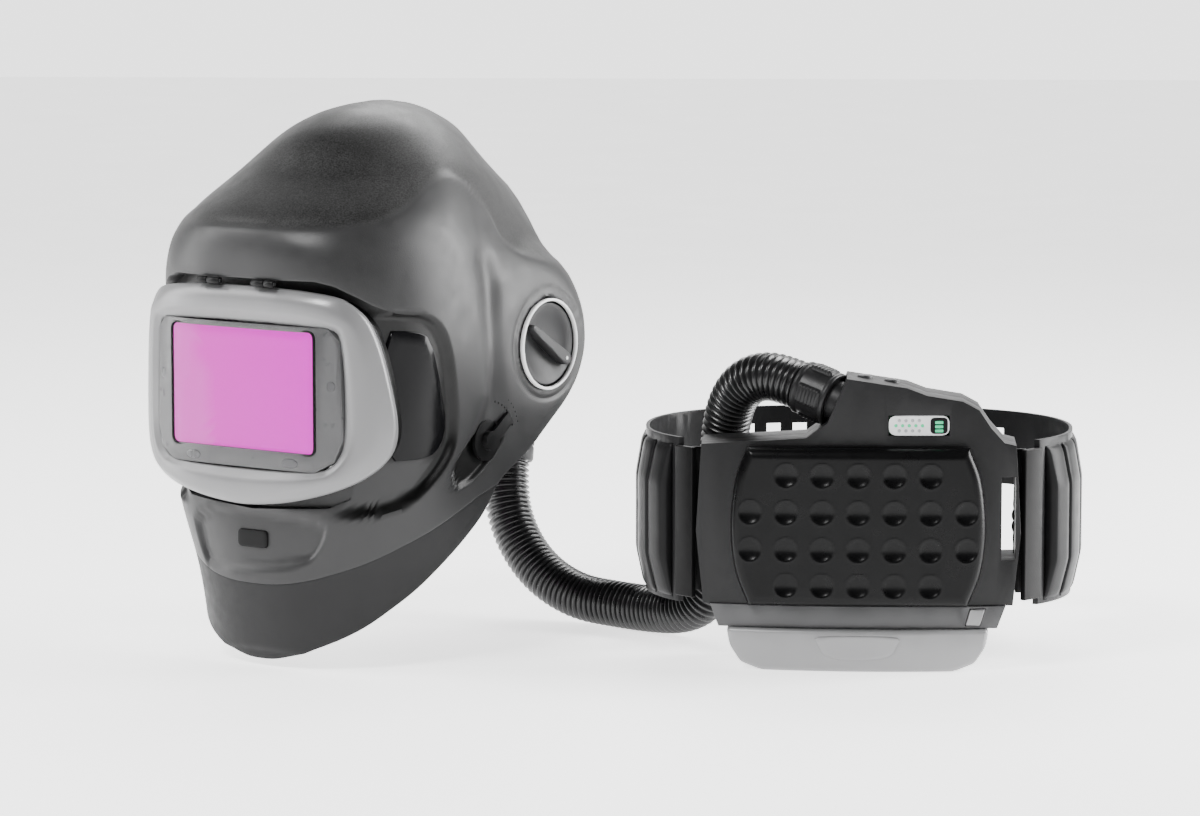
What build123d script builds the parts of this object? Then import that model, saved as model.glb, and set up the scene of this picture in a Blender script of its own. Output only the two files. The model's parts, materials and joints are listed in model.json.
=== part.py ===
from build123d import *
import os
from math import copysign, cos, pi, radians, sin, tan

# Powered air respirator: a welding helmet with a flip-up filter, a breathing tube and a
# belt-worn blower with its battery. Millimetres, +Z up. The origin is the middle of the
# battery's flat base. The blower faces -Y; the helmet stands on its chin to the left.

os.makedirs("parts", exist_ok=True)

# ---------------------------------------------------------------- driving dimensions
# Helmet frame: X to the wearer's left, -Y forward, Z up, chin on Z = 0.
HELMET_AT = (-307.4, 117.2, 0)
HELMET_TURN = -32.9
WALL = 3.0
PIVOT_Z = 210.0
# Height, centre in Y, half width, half depth and power of each horizontal section.
SECTIONS = [
    (0, -60, 92, 112, 2.3),
    (60, -62, 98, 117, 2.4),
    (130, -56, 110, 122, 3.4),
    (211, -52, 112, 126, 3.6),
    (268, -58, 109, 134, 3.0),
    (300, -60, 100, 126, 2.5),
    (330, -50, 81, 97, 2.2),
    (354, -43, 57, 80, 2.0),
    (371, -41, 26, 40, 2.0),
]
SECTION_STEPS = 24
REAR_EDGE = [
    (-171, 0), (-170, 10), (-159, 20), (-145, 30), (-134, 40), (-120, 50), (-96, 70), (-78, 85), (-62, 100),
    (-50, 122), (-15, 140), (5, 157), (22, 170), (36, 186), (44, 205), (44, 228), (37, 248), (29, 262),
    (27, 280), (34, 300), (50, 318), (62, 330),
]
NECK_SEAM = [(-230, 50), (-179, 57), (-166, 66), (-134, 84), (-97, 101), (-70, 113), (-40, 122)]

# Front of the helmet: every layer follows one bowed plan curve.
BOW_DEPTH, BOW_HALF, BOW_POWER = 31.0, 107.0, 4
BEZEL_FRONT, BEZEL_THICK = -194.0, 10.0
BEZEL_HALF = [(68, 257), (90, 245), (98, 226), (104, 193), (107, 165), (104, 148), (92, 134), (72, 124), (42, 116)]
BEZEL_BOTTOM = 112.0
OPENING_HALF = [(72, 235), (80, 226), (82, 160), (76, 144), (62, 136)]
PLATE_FRONT = -192.0
FILTER_FRONT = -190.4
WINDOW_HALF, WINDOW_LOW, WINDOW_HIGH = 61.0, 149.4, 230.0
WINDOW_FRONT = -187.0
POCKET_FRONT = -169.0
POCKET_LOW, POCKET_HIGH = 105.0, 264.5
FLIP_AXIS = (-193.0, 261.0)
FLIP_PIN_R, RUNNING_GAP = 1.2, 0.05

# Turning knobs on the two sides, and the small vent levers below them.
SEAT_R, SEAT_FLOOR, SEAT_FACE = 36.0, 106.0, 113.5
KNOB_R, RING_R, SHAFT_R, GRIP_TILT = 28.4, 31.2, 6.0, -33
LEVER_AT = (-64.0, 150.0)
LEVER_SEAT_R, LEVER_SHAFT_R = 15.0, 4.0

# Air duct: a flat arc about the pivot axis. The harness turns inside it.
DUCT_INNER, DUCT_OUTER, DUCT_HALF = 119.5, 126.5, 20.0
BAND_HALF_WIDTH, BAND_HALF_DEPTH, BAND_THICK = 84.0, 98.0, 2.4

# Blower: half width, height of its parts, and front and back faces at the middle.
BLOWER_HALF = 108.5
BATTERY_HEIGHT, BAND_TOP, COVER_TOP = 28.0, 43.5, 151.0
FACE_Y, BACK_Y, SPLIT_Y = -21.0, 27.0, 4.0
FACE_SAG, BACK_SAG = 9.0, 9.0
COVER_Y, COVER_SAG = -35.0, 7.0
HOUSING_SIDE = [
    (103.5, 43.5), (108.5, 92), (105, 151), (97, 153), (88, 163), (80, 175), (69, 181),
    (45, 185), (32, 190), (-8, 196), (-21, 166), (-35, 156), (-105, 151), (-108.5, 92), (-103.5, 43.5),
]
COVER_OUTLINE = [(73, 43.9), (82, 68), (85, 97), (82, 128), (74, 150.6)]
DIMPLE_R, DIMPLE_PITCH = 7.1, 24.0
DIMPLE_ROWS = [(132.5, 5), (107.6, 7), (82.6, 7), (58.5, 5)]
BUTTON_R, BUTTON_GAP = 5.0, 0.3
SLOT_X, SLOT_Z = (95.5, 105.0), (74.0, 130.0)

# Outlet: the base of the collar's axis and its direction.
OUTLET_BASE = Vector(-15.7, 0.0, 179.3)
OUTLET_DIR = Vector(-13, 7, 4.5).normalized()
COLLAR_LENGTH, COLLAR_R, SPIGOT_R = 26.0, 18.4, 14.0

# Breathing tube: outer radius, bore, and the route of its centre line.
TUBE_R, TUBE_BORE = 16.5, 13.6
TUBE_ROUTE = [
    (-38, 12, 187), (-51, 19, 191.5), (-64, 27, 192.5), (-76, 36, 187.5), (-85, 45, 175.5),
    (-90, 53, 158), (-92.5, 59, 134), (-92, 62, 106), (-92, 65, 78), (-95, 70, 52),
    (-104, 80, 31), (-120, 96, 19.5), (-143, 117, 16.6), (-170, 136, 17), (-199, 154, 19),
    (-226, 172, 33), (-245, 189, 57), (-254, 202, 88), (-252, 211, 121),
]

# Belt: half width and half depth of the band's oval, its centre, and the pads outside it.
BELT_HALF_X, BELT_HALF_Y, BELT_Y, BELT_POWER = 146.5, 114.0, 86.0, 2.3
BELT_THICK, PAD_THICK = 2.5, 6.5
BELT_FRONT, BELT_BACK = 13.4, 150.0
BELT_LOW, BELT_HIGH, REAR_LOW = 40.0, 152.0, 100.0
PAD_EDGES = [(18, 33), (37, 59), (63, 88), (92, 118), (122, 148)]
SLOT_PITCH, SLOT_SIZE = 18.5, (10.0, 7.0)

HELMET = Location(HELMET_AT, (0, 0, HELMET_TURN))


# ---------------------------------------------------------------- helpers
def save(name, *solids):
    """Write one node; several solids make one group of separate pieces."""
    shape = solids[0] if len(solids) == 1 else Compound(children=list(solids))
    export_step(shape, f"parts/{name}.step")


def save_on_helmet(name, *solids):
    save(name, *[HELMET * solid for solid in solids])


def block(x0, x1, y0, y1, z0, z1):
    """Box between two corners."""
    return Pos((x0 + x1) / 2, (y0 + y1) / 2, (z0 + z1) / 2) * Box(x1 - x0, y1 - y0, z1 - z0)


def mirrored(points):
    """A half outline, top to bottom on the +X side, closed with its mirror image."""
    return points + [(-x, z) for x, z in reversed(points)]


def front_plate(outline, y0, y1):
    """Outline in X and Z, extruded along Y between two places."""
    face = make_face(Polyline(*[(x, y0, z) for x, z in outline], close=True))
    return extrude(face, amount=y1 - y0, dir=(0, 1, 0))


def side_plate(outline, x0, x1):
    """Outline in Y and Z, extruded along X between two places."""
    face = make_face(Polyline(*[(x0, y, z) for y, z in outline], close=True))
    return extrude(face, amount=x1 - x0, dir=(1, 0, 0))


def rod_x(radius, x0, x1, y, z):
    """Cylinder along X between two places."""
    return Pos((x0 + x1) / 2, y, z) * Rot(0, 90, 0) * Cylinder(radius, abs(x1 - x0))


def rod_y(radius, y0, y1, x, z):
    """Cylinder along Y between two places."""
    return Pos(x, (y0 + y1) / 2, z) * Rot(90, 0, 0) * Cylinder(radius, abs(y1 - y0))


def rod_on(start, direction, radius, length):
    """Cylinder that starts at a point and runs along a direction."""
    return extrude(Plane(origin=start, z_dir=direction) * Circle(radius), amount=length)


def mirror_x(solid):
    return mirror(solid, about=Plane.YZ)


def oval_points(half_x, half_y, power, centre_y, z, steps):
    """Points around a horizontal superellipse."""
    points = []
    for step in range(steps):
        turn = 2 * pi * step / steps
        x = half_x * copysign(abs(cos(turn)) ** (2 / power), cos(turn))
        y = half_y * copysign(abs(sin(turn)) ** (2 / power), sin(turn))
        points.append(Vector(x, centre_y + y, z))
    return points


def oval(half_x, half_y, power, centre_y, z, steps):
    """Closed horizontal face bounded by a smooth superellipse."""
    return make_face(Spline(*oval_points(half_x, half_y, power, centre_y, z, steps), periodic=True))


def facet(*corners):
    return Face(Wire.make_polygon(corners, close=True))


def dome(inset):
    """The helmet's body as one faceted solid, drawn in by the inset on every side."""
    rings = []
    for z, centre_y, half_x, half_y, power in SECTIONS:
        height = z - inset if z == SECTIONS[-1][0] else z
        rings.append(oval_points(half_x - inset, half_y - inset, power, centre_y, height, SECTION_STEPS))
    faces = [facet(*rings[0]), facet(*rings[-1])]
    for low, high in zip(rings, rings[1:]):
        for here in range(SECTION_STEPS):
            after = (here + 1) % SECTION_STEPS
            faces.append(facet(low[here], low[after], high[after]))
            faces.append(facet(low[here], high[after], high[here]))
    return Solid(Shell(faces))


def bow(x, front):
    """Y of the bowed front at a distance from the middle."""
    return front + BOW_DEPTH * abs(x / BOW_HALF) ** BOW_POWER


def bowed_slab(front, back, half, low, high):
    """Curved slab between two offsets of the bowed plan curve."""
    stations = [half * step / 6 for step in range(-6, 7)]
    near = Spline(*[(x, bow(x, front), low) for x in stations])
    far = Spline(*[(x, bow(x, back), low) for x in stations])
    ends = [Line(near @ 0, far @ 0), Line(near @ 1, far @ 1)]
    return extrude(make_face([near, far] + ends), amount=high - low, dir=(0, 0, 1))


# ---------------------------------------------------------------- helmet shell
def helmet_region():
    """Everything in front of the shell's rear and lower edge, seen from the side."""
    outline = [(-230, 0)] + REAR_EDGE + [(82, 345), (90, 400), (-230, 400)]
    return side_plate(outline, -150, 150)


def neck_region():
    """Everything below the seam between shell and neck cover."""
    return side_plate(NECK_SEAM + [(-40, -10), (-230, -10)], -150, 150)


def flip_pocket(grow):
    """Space cut from the helmet's front for the visor and the flip-up front."""
    return bowed_slab(-260, POCKET_FRONT + grow, 125, POCKET_LOW - grow, POCKET_HIGH + grow)


def pivot_seats():
    """Round seats on the two sides: a raised rim around a shallow bowl, with a bore."""
    seat = rod_x(SEAT_R, 101, SEAT_FACE, 0, PIVOT_Z) - rod_x(29.2, SEAT_FLOOR, 120, 0, PIVOT_Z)
    return seat + mirror_x(seat)


def seat_cutter():
    """Bores and bowls of the pivot seats and the lever seats."""
    bowl = rod_x(29.2, SEAT_FLOOR, 140, 0, PIVOT_Z)
    bowl += rod_x(SHAFT_R + RUNNING_GAP, 90, 120, 0, PIVOT_Z)
    lever = rod_x(LEVER_SEAT_R, 107.5, 140, *LEVER_AT)
    lever += rod_x(LEVER_SHAFT_R + RUNNING_GAP, 90, 120, *LEVER_AT)
    cutter = bowl + lever
    return cutter + mirror_x(cutter)


def lever_seats():
    seat = rod_x(LEVER_SEAT_R + 3, 102, 109, *LEVER_AT)
    return seat + mirror_x(seat)


def flip_lugs():
    """Two ears under the brow that hold the flip-up front's hinge pin."""
    y, z = FLIP_AXIS
    ear = rod_x(2.4, 25, 33, y, z) + block(25, 33, y - 1.2, y + 5, z, POCKET_HIGH + 4)
    ear -= rod_x(FLIP_PIN_R + RUNNING_GAP, 20, 36, y, z)
    return ear + mirror_x(ear)


def side_window_box(grow):
    left = block(80, 130, -140 - grow, -94 + grow, 152 - grow, 238 + grow)
    return left + mirror_x(left)


def build_shell():
    outer = dome(0) - flip_pocket(0)
    inner = dome(WALL) - flip_pocket(WALL)
    wall = (outer - inner) & helmet_region()
    neck = wall & neck_region()
    shell = wall - neck_region()
    shell += (pivot_seats() + lever_seats()) & block(-140, 140, -150, 60, 120, 260)
    shell -= seat_cutter()
    shell -= block(-84, 84, -230, -120, 122, 246)
    shell -= side_window_box(0)
    shell -= duct_sector(DUCT_INNER - 3, DUCT_OUTER + 9, DUCT_HALF + 0.6, 45, 77)
    shell += flip_lugs()
    save_on_helmet("helmet_shell", shell)
    save_on_helmet("neck_cover", neck)


def build_side_windows():
    """Dark windows that follow the shell's sides and cover its side openings."""
    skin = (dome(3.2) - dome(5.2)) & side_window_box(4)
    save_on_helmet("side_windows", *skin.solids())


def build_chin_clip():
    clip = (dome(-2.2) - dome(0.0)) & block(-16, 12, -260, -100, 80, 94)
    save_on_helmet("chin_clip", clip)


def build_visor():
    """Fixed frame in the pocket and the clear curved visor that it holds."""
    frame = bowed_slab(POCKET_FRONT - 6, POCKET_FRONT - 0.1, 102, 109, 260)
    frame -= block(-82, 82, -260, -100, 137, 244)
    visor = bowed_slab(POCKET_FRONT - 4, POCKET_FRONT - 2.4, 92, 115, 253)
    save_on_helmet("visor_frame", frame - visor)
    save_on_helmet("grinding_visor", visor)


# ---------------------------------------------------------------- flip-up front
def build_flip_front():
    outline = mirrored(BEZEL_HALF)
    outline.insert(len(BEZEL_HALF), (0, BEZEL_BOTTOM))
    opening = mirrored(OPENING_HALF)
    slab = bowed_slab(BEZEL_FRONT, BEZEL_FRONT + BEZEL_THICK, 110, 100, 262)
    bezel = slab & front_plate(outline, -230, -120)
    bezel -= front_plate(opening, -230, -120)
    y, z = FLIP_AXIS
    knuckle = rod_x(2.4, 14, 24.6, y, z) + block(14, 24.6, y - 0.6, y + 6, z - 7, z)
    knuckle -= rod_x(FLIP_PIN_R + RUNNING_GAP, 10, 30, y, z)
    bezel += knuckle + mirror_x(knuckle)
    save_on_helmet("flip_frame", bezel)
    pins = rod_x(FLIP_PIN_R, 13.5, 33.5, y, z)
    save_on_helmet("flip_hinge_pins", pins, mirror_x(pins))
    plate_edge = mirrored([(70.5, 233.5), (78.5, 225), (80.5, 160), (74.8, 145), (61.5, 137.5)])
    plate = bowed_slab(PLATE_FRONT, PLATE_FRONT + 1.2, 90, 120, 250) & front_plate(plate_edge, -230, -120)
    save_on_helmet("protection_plate", plate)
    build_filter(plate_edge)


def build_filter(edge):
    """Auto-darkening filter: housing, window, four light sensors and three buttons."""
    housing = bowed_slab(FILTER_FRONT, FILTER_FRONT + 6, 90, 120, 250) & front_plate(edge, -230, -120)
    housing += block(-62, 62, FILTER_FRONT + 4, -178, 141, 233)
    lens = block(-WINDOW_HALF, WINDOW_HALF, WINDOW_FRONT, WINDOW_FRONT + 1.6, WINDOW_LOW, WINDOW_HIGH)
    window = block(-WINDOW_HALF, WINDOW_HALF, -230, WINDOW_FRONT + 1.6, WINDOW_LOW, WINDOW_HIGH)
    sight = block(-56, 56, -230, -150, WINDOW_LOW + 5, WINDOW_HIGH - 5)
    sensors = []
    for x, z in [(-73, 195), (73, 195), (-42, 142.5), (42, 142.5)]:
        sensors.append(rod_y(2.6, bow(x, FILTER_FRONT) + 1.0, bow(x, FILTER_FRONT) + 3, x, z))
    housing = housing - window - sight
    for sensor in sensors:
        housing -= sensor
    names = ["shade_button", "sensitivity_button", "mode_button"]
    for index, name in enumerate(names):
        x = -24 + 24 * index
        housing -= rod_y(3.3, -184, -170, x, 145)
        save_on_helmet(name, rod_y(3.0, -182.6, -176.4, x, 145))
    save_on_helmet("filter_housing", housing)
    save_on_helmet("filter_window", lens)
    save_on_helmet("light_sensors", *sensors)


# ---------------------------------------------------------------- knobs and levers
def build_knobs():
    grip = block(SEAT_FLOOR + 3, 117.5, -25.5, 25.5, -5.5, 5.5)
    knob = rod_x(KNOB_R, SEAT_FLOOR + 0.3, SEAT_FLOOR + 3.3, 0, PIVOT_Z)
    knob += Pos(0, 0, PIVOT_Z) * Rot(GRIP_TILT, 0, 0) * grip
    knob = knob & rod_x(KNOB_R, 80, 130, 0, PIVOT_Z)
    knob += rod_x(SHAFT_R, 91, SEAT_FLOOR + 1, 0, PIVOT_Z)
    ring = rod_x(RING_R, SEAT_FACE + 0.02, 116, 0, PIVOT_Z) - rod_x(29.2, 110, 120, 0, PIVOT_Z)
    lever = rod_x(LEVER_SEAT_R - 1.2, 107.8, 110.4, *LEVER_AT)
    lever += rod_x(LEVER_SHAFT_R, 97, 108.5, *LEVER_AT)
    lever += rod_x(6.5, 110, 114.8, *LEVER_AT)
    lever += Pos(0, *LEVER_AT) * Rot(35, 0, 0) * block(112.6, 114.8, 0, 25, -4.5, 4.5)
    save_on_helmet("knob_rings", ring, mirror_x(ring))
    for node, solid in [("pivot_knob", knob), ("vent_lever", lever)]:
        save_on_helmet(f"{node}_left", solid)
        save_on_helmet(f"{node}_right", mirror_x(solid))


# ---------------------------------------------------------------- harness
def oval_band(half_x, half_y, thick, low, high, centre_y=0.0):
    outer = oval(half_x, half_y, 2.2, centre_y, low, 20)
    inner = oval(half_x - thick, half_y - thick, 2.2, centre_y, low, 20)
    return extrude(outer, amount=high - low, dir=(0, 0, 1)) - extrude(inner, amount=high - low, dir=(0, 0, 1))


def build_harness():
    ring = oval_band(BAND_HALF_WIDTH, BAND_HALF_DEPTH, BAND_THICK, 232, 260)
    pad = oval_band(BAND_HALF_WIDTH - BAND_THICK - 0.1, BAND_HALF_DEPTH - BAND_THICK - 0.1, 7, 230, 262)
    save_on_helmet("headband_front", ring & block(-100, 100, -110, 18, 220, 270))
    save_on_helmet("brow_pad", pad & block(-52, 52, -110, -50, 220, 270))
    rear = oval_band(BAND_HALF_WIDTH, 92, BAND_THICK, 172, 202) & block(-100, 100, 30, 110, 160, 210)
    link = block(BAND_HALF_WIDTH - 6.8, BAND_HALF_WIDTH - 4.4, 18.2, 42, 172, 260)
    save_on_helmet("headband_rear", rear + link + mirror_x(link))
    nape = oval_band(BAND_HALF_WIDTH - BAND_THICK - 0.1, 92 - BAND_THICK - 0.1, 6, 170, 204)
    save_on_helmet("nape_pad", nape & block(-46, 46, 50, 110, 160, 210))
    build_crown_straps()
    build_pivot_arms()
    build_ratchet()


def build_crown_straps():
    """Two straps over the head, half ovals in planes across the helmet."""
    base, half, width = 246, 77, 16
    straps = []
    for y, top in [(-18, 312), (16, 314)]:
        across = Plane(origin=(0, y, base), x_dir=(1, 0, 0), z_dir=(0, -1, 0))
        strap = extrude(across * (Ellipse(half, top - base) - Ellipse(half - 2, top - base - 2)), amount=width)
        strap = strap & block(-90, 90, y - width, y, base, 330)
        leg = block(half - 2, half, y - width, y, 233, base)
        straps.append(strap + leg + mirror_x(leg))
    save_on_helmet("crown_straps", *straps)


def build_pivot_arms():
    arm = rod_x(15, 96.5, 100.6, 0, PIVOT_Z) + block(96.5, 100.6, -12, 12, PIVOT_Z, 244)
    arm += block(84.1, 100.6, -12, 12, 236, 246)
    arm -= rod_x(SHAFT_R + RUNNING_GAP, 90, 110, 0, PIVOT_Z)
    save_on_helmet("pivot_arms", arm, mirror_x(arm))


def build_ratchet():
    housing = block(-32, 32, 92.1, 101, 171, 203)
    housing = fillet(housing.edges().filter_by(Axis.Y), 7)
    housing -= rod_y(5.05, 94, 110, 0, 188)
    knob = rod_y(15, 101.3, 110, 0, 188)
    for step in range(12):
        turn = radians(30 * step)
        knob -= rod_y(1.6, 100, 112, 15.2 * cos(turn), 188 + 15.2 * sin(turn))
    knob += rod_y(5.0, 95, 102, 0, 188)
    save_on_helmet("ratchet_housing", housing)
    save_on_helmet("ratchet_knob", knob)


# ---------------------------------------------------------------- air path in the helmet
def duct_sector(inner, outer, half, start, end):
    """Part of a flat ring about the pivot axis, between two angles above the rear."""
    middle = (inner + outer) / 2
    arc = []
    for radius in (outer, middle, inner):
        ends = [(radius * cos(radians(a)), PIVOT_Z + radius * sin(radians(a))) for a in (start, (start + end) / 2, end)]
        arc.append([Vector(-half, y, z) for y, z in ends])
    edges = [ThreePointArc(*arc[0]), ThreePointArc(*arc[2])]
    edges += [Line(arc[0][0], arc[2][0]), Line(arc[0][2], arc[2][2])]
    return extrude(make_face(edges), amount=2 * half, dir=(1, 0, 0))


def build_duct():
    skin = 1.5
    duct = duct_sector(DUCT_INNER, DUCT_OUTER, DUCT_HALF, -24, 142)
    duct -= duct_sector(DUCT_INNER + skin, DUCT_OUTER - skin, DUCT_HALF - skin, -20, 150)
    block_low = block(-DUCT_HALF, DUCT_HALF, 112, 133, 142, 164)
    duct = duct + (block_low - duct_sector(100, DUCT_OUTER - skin, DUCT_HALF - skin, -40, 20))
    end = Vector(*TUBE_ROUTE[-1])
    arrive = (end - Vector(*TUBE_ROUTE[-2])).normalized()
    inlet = rod_on(end - arrive * 7, arrive, SPIGOT_R, 32) - rod_on(end - arrive * 9, arrive, SPIGOT_R - 2, 40)
    flange = rod_on(end + arrive * 18, arrive, 18, 3) - rod_on(end, arrive, SPIGOT_R - 2, 40)
    cuff = rod_on(end - arrive * 12, arrive, TUBE_R + 2.6, 29.5)
    cuff -= rod_on(end - arrive * 13, arrive, TUBE_R + 0.1, 32)
    cuff += rod_on(end + arrive * 0.3, arrive, TUBE_R + 1, 17) - rod_on(end, arrive, SPIGOT_R + 0.1, 20)
    save_on_helmet("air_duct", duct)
    save("duct_inlet", inlet + flange)
    save("tube_cuff", cuff)


def build_face_seal():
    """Fabric seal across the helmet with an oval opening for the face."""
    sheet = dome(WALL + 2.4) & block(-150, 150, -124, -122.5, 62, 330)
    hole = Plane(origin=(0, -130, 182), x_dir=(1, 0, 0), z_dir=(0, 1, 0)) * Ellipse(66, 92)
    save_on_helmet("face_seal", sheet - extrude(hole, amount=20))


# ---------------------------------------------------------------- blower
def plan_region(front, front_sag, back, back_sag, half, low, high):
    """Vertical prism with a front that bows out and a back that is hollow."""
    corners = [(x, front + front_sag * (x / half) ** 2) for x in (-half, 0, half)]
    rear = [(x, back + back_sag * (x / half) ** 2) for x in (-half, 0, half)]
    near = ThreePointArc(*[(x, y, low) for x, y in corners])
    far = ThreePointArc(*[(x, y, low) for x, y in rear])
    ends = [Line(near @ 0, far @ 0), Line(near @ 1, far @ 1)]
    return extrude(make_face([near, far] + ends), amount=high - low, dir=(0, 0, 1))


def housing_solid(inset):
    """The blower's body drawn in by an inset, without its filter cover."""
    face = make_face(Polyline(*[(x, -70, z) for x, z in HOUSING_SIDE], close=True))
    if inset:
        face = offset(face, -inset)
    prism = extrude(face, amount=140, dir=(0, 1, 0))
    body = prism & plan_region(FACE_Y + inset, FACE_SAG, BACK_Y - inset, BACK_SAG, 112, 20, 210)
    return body - block(SLOT_X[0] - inset, SLOT_X[1] + 10 * inset, -60, 60, SLOT_Z[0] - inset, SLOT_Z[1] + inset)


def button_places():
    """Middle of each top button, on the sloping top of the housing."""
    slope = (190.0 - 196.0) / 40.0
    return [(x, 5.0, 196.0 + slope * (x + 8)) for x in (4.0, 22.0)]


def build_housing():
    shell = housing_solid(0) - housing_solid(2.8)
    shell -= rod_on(OUTLET_BASE - OUTLET_DIR * 14, OUTLET_DIR, SPIGOT_R + 0.1, 40)
    shell -= rod_on(OUTLET_BASE - OUTLET_DIR * 0.4, OUTLET_DIR, COLLAR_R + 0.8, 60)
    for x, y, z in button_places():
        shell -= Pos(x, y, z) * Cylinder(BUTTON_R + BUTTON_GAP, 20)
    front = shell & block(-130, 130, -60, SPLIT_Y, 20, 210)
    front -= block(-64, 64, -60, -5, 54, 142)
    front -= block(19.7, 60.3, -60, -5, 158.2, 171.8)
    rear = shell & block(-130, 130, SPLIT_Y, 60, 20, 210)
    save("front_housing", front)
    save("rear_housing", rear)
    names = ["power_button", "airflow_button"]
    for name, (x, y, z) in zip(names, button_places()):
        button = Pos(x, y, z - 0.6) * Cylinder(BUTTON_R, 5)
        save(name, fillet(button.edges().group_by(Axis.Z)[-1], 0.8))
    panel = plan_region(FACE_Y - 0.3, FACE_SAG, FACE_Y + 2, FACE_SAG, 112, 158.3, 171.7)
    save("indicator_panel", panel & block(19.8, 60.2, -60, 0, 150, 180))
    save("circuit_board", block(16, 62, -12, -10.4, 150, 178))


def build_lower_band():
    band = plan_region(FACE_Y - 2, FACE_SAG, BACK_Y + 1, BACK_SAG, 112, BATTERY_HEIGHT + 0.3, BAND_TOP - 0.1)
    band = band & block(-103, 103, -60, 60, 20, 60)
    band -= block(-92, 92, FACE_Y + 13, BACK_Y - 5, 20, 60)
    band -= block(78.4, 89.6, -60, -5, 30.1, 41.9)
    save("lower_band", band)
    latch_y = FACE_Y - 2 + FACE_SAG * (84 / 112) ** 2
    save("battery_latch", block(78.8, 89.2, latch_y - 1.6, latch_y + 5, 30.5, 41.5))


def build_battery():
    half = [(96.5, BATTERY_HEIGHT), (94, 16), (86, 5), (71, 0)]
    face = make_face(Polyline(*[(x, -70, z) for x, z in mirrored(half)], close=True))
    prism = extrude(face, amount=140, dir=(0, 1, 0))
    case = prism & plan_region(FACE_Y - 9, FACE_SAG + 4, BACK_Y + 4, BACK_SAG, 112, -5, 40)
    cavity = block(-66, 66, -18, 22, 3, 25)
    save("battery_case", case - cavity)
    cells = []
    for column in (-44, 0, 44):
        for row in (-7.6, 11.6):
            cells.append(rod_x(9.0, column - 21, column + 21, row, 13.5))
    save("battery_cells", *cells)


def build_filter_cover():
    """Dimpled cover over the filters: a shallow tray whose front bows out."""
    outline = mirrored([(x, z) for x, z in reversed(COVER_OUTLINE)])
    region = plan_region(COVER_Y, COVER_SAG, FACE_Y - 0.3, FACE_SAG, 112, 20, 200)
    inner = plan_region(COVER_Y + 3, COVER_SAG, FACE_Y, FACE_SAG, 112, 20, 200)
    cover = region & front_plate(outline, -70, 30)
    small = offset(make_face(Polyline(*[(x, -70, z) for x, z in outline], close=True)), -4)
    cover -= inner & extrude(small, amount=100, dir=(0, 1, 0))
    for height, count in DIMPLE_ROWS:
        for index in range(count):
            x = DIMPLE_PITCH * (index - (count - 1) / 2)
            face_y = COVER_Y + COVER_SAG * (x / 112) ** 2
            cover -= Pos(x, face_y - 11.5, height) * Sphere(13.4)
    save("filter_cover", cover)
    save("spark_arrestor", block(-62, 62, -26.8, -26, 56, 140))
    save("prefilter", block(-62, 62, -25.8, -21, 56, 140))
    save("particle_filter", block(-63, 63, -20.8, -1, 55, 141))


def build_fan():
    """Impeller on the motor's shaft, with its volute behind the particle filter."""
    x, z = 8.0, 100.0
    volute = rod_y(44, 1, 20, x, z) - rod_y(41.5, 0, 18, x, z)
    volute -= rod_y(15.4, 15, 25, x, z)
    impeller = rod_y(39, 3, 4.6, x, z)
    for step in range(16):
        blade = Pos(x, 9.5, z) * Rot(0, 22.5 * step, 0) * Pos(30, 0, 0) * Box(14, 10, 1.4)
        impeller += blade
    impeller += rod_y(6, 3, 8, x, z)
    impeller -= rod_y(2.05, 0, 10, x, z)
    motor = rod_y(15, 9, 22, x, z) + rod_y(2.0, 2, 10, x, z)
    save("fan_volute", volute)
    save("impeller", impeller)
    save("motor", motor)


def build_outlet():
    spigot = rod_on(OUTLET_BASE - OUTLET_DIR * 12, OUTLET_DIR, SPIGOT_R, 44)
    spigot -= rod_on(OUTLET_BASE - OUTLET_DIR * 13, OUTLET_DIR, SPIGOT_R - 2, 46)
    collar = rod_on(OUTLET_BASE, OUTLET_DIR, COLLAR_R, COLLAR_LENGTH)
    collar -= rod_on(OUTLET_BASE - OUTLET_DIR, OUTLET_DIR, SPIGOT_R + RUNNING_GAP, COLLAR_LENGTH + 2)
    save("outlet_spigot", spigot)
    save("hose_collar", collar)


def build_tube():
    """The tube on straight runs and tangent arcs, each arc as large as its runs allow."""
    points = [Vector(*point) for point in TUBE_ROUTE]
    radii = []
    for before, here, after in zip(points, points[1:], points[2:]):
        turn = (here - before).get_angle(after - here)
        shorter = min((here - before).length, (after - here).length)
        radii.append(0.45 * shorter / tan(radians(turn / 2)))
    path = FilletPolyline(*points, radius=radii)
    start = Plane(origin=path @ 0, z_dir=path % 0)
    tube = sweep(start * (Circle(TUBE_R) - Circle(TUBE_BORE)), path=path)
    section = pi * (TUBE_R ** 2 - TUBE_BORE ** 2)
    print("tube radii", [round(radius) for radius in radii])
    print("tube length", round(path.length, 1), "volume ratio", round(tube.volume / (section * path.length), 4))
    save("breathing_tube", tube)


# ---------------------------------------------------------------- belt
def belt_ring(outset, thick, low, high):
    outer = oval(BELT_HALF_X + outset, BELT_HALF_Y + outset, BELT_POWER, BELT_Y, low, 36)
    inner = oval(BELT_HALF_X + outset - thick, BELT_HALF_Y + outset - thick, BELT_POWER, BELT_Y, low, 36)
    return extrude(outer, amount=high - low, dir=(0, 0, 1)) - extrude(inner, amount=high - low, dir=(0, 0, 1))


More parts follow.
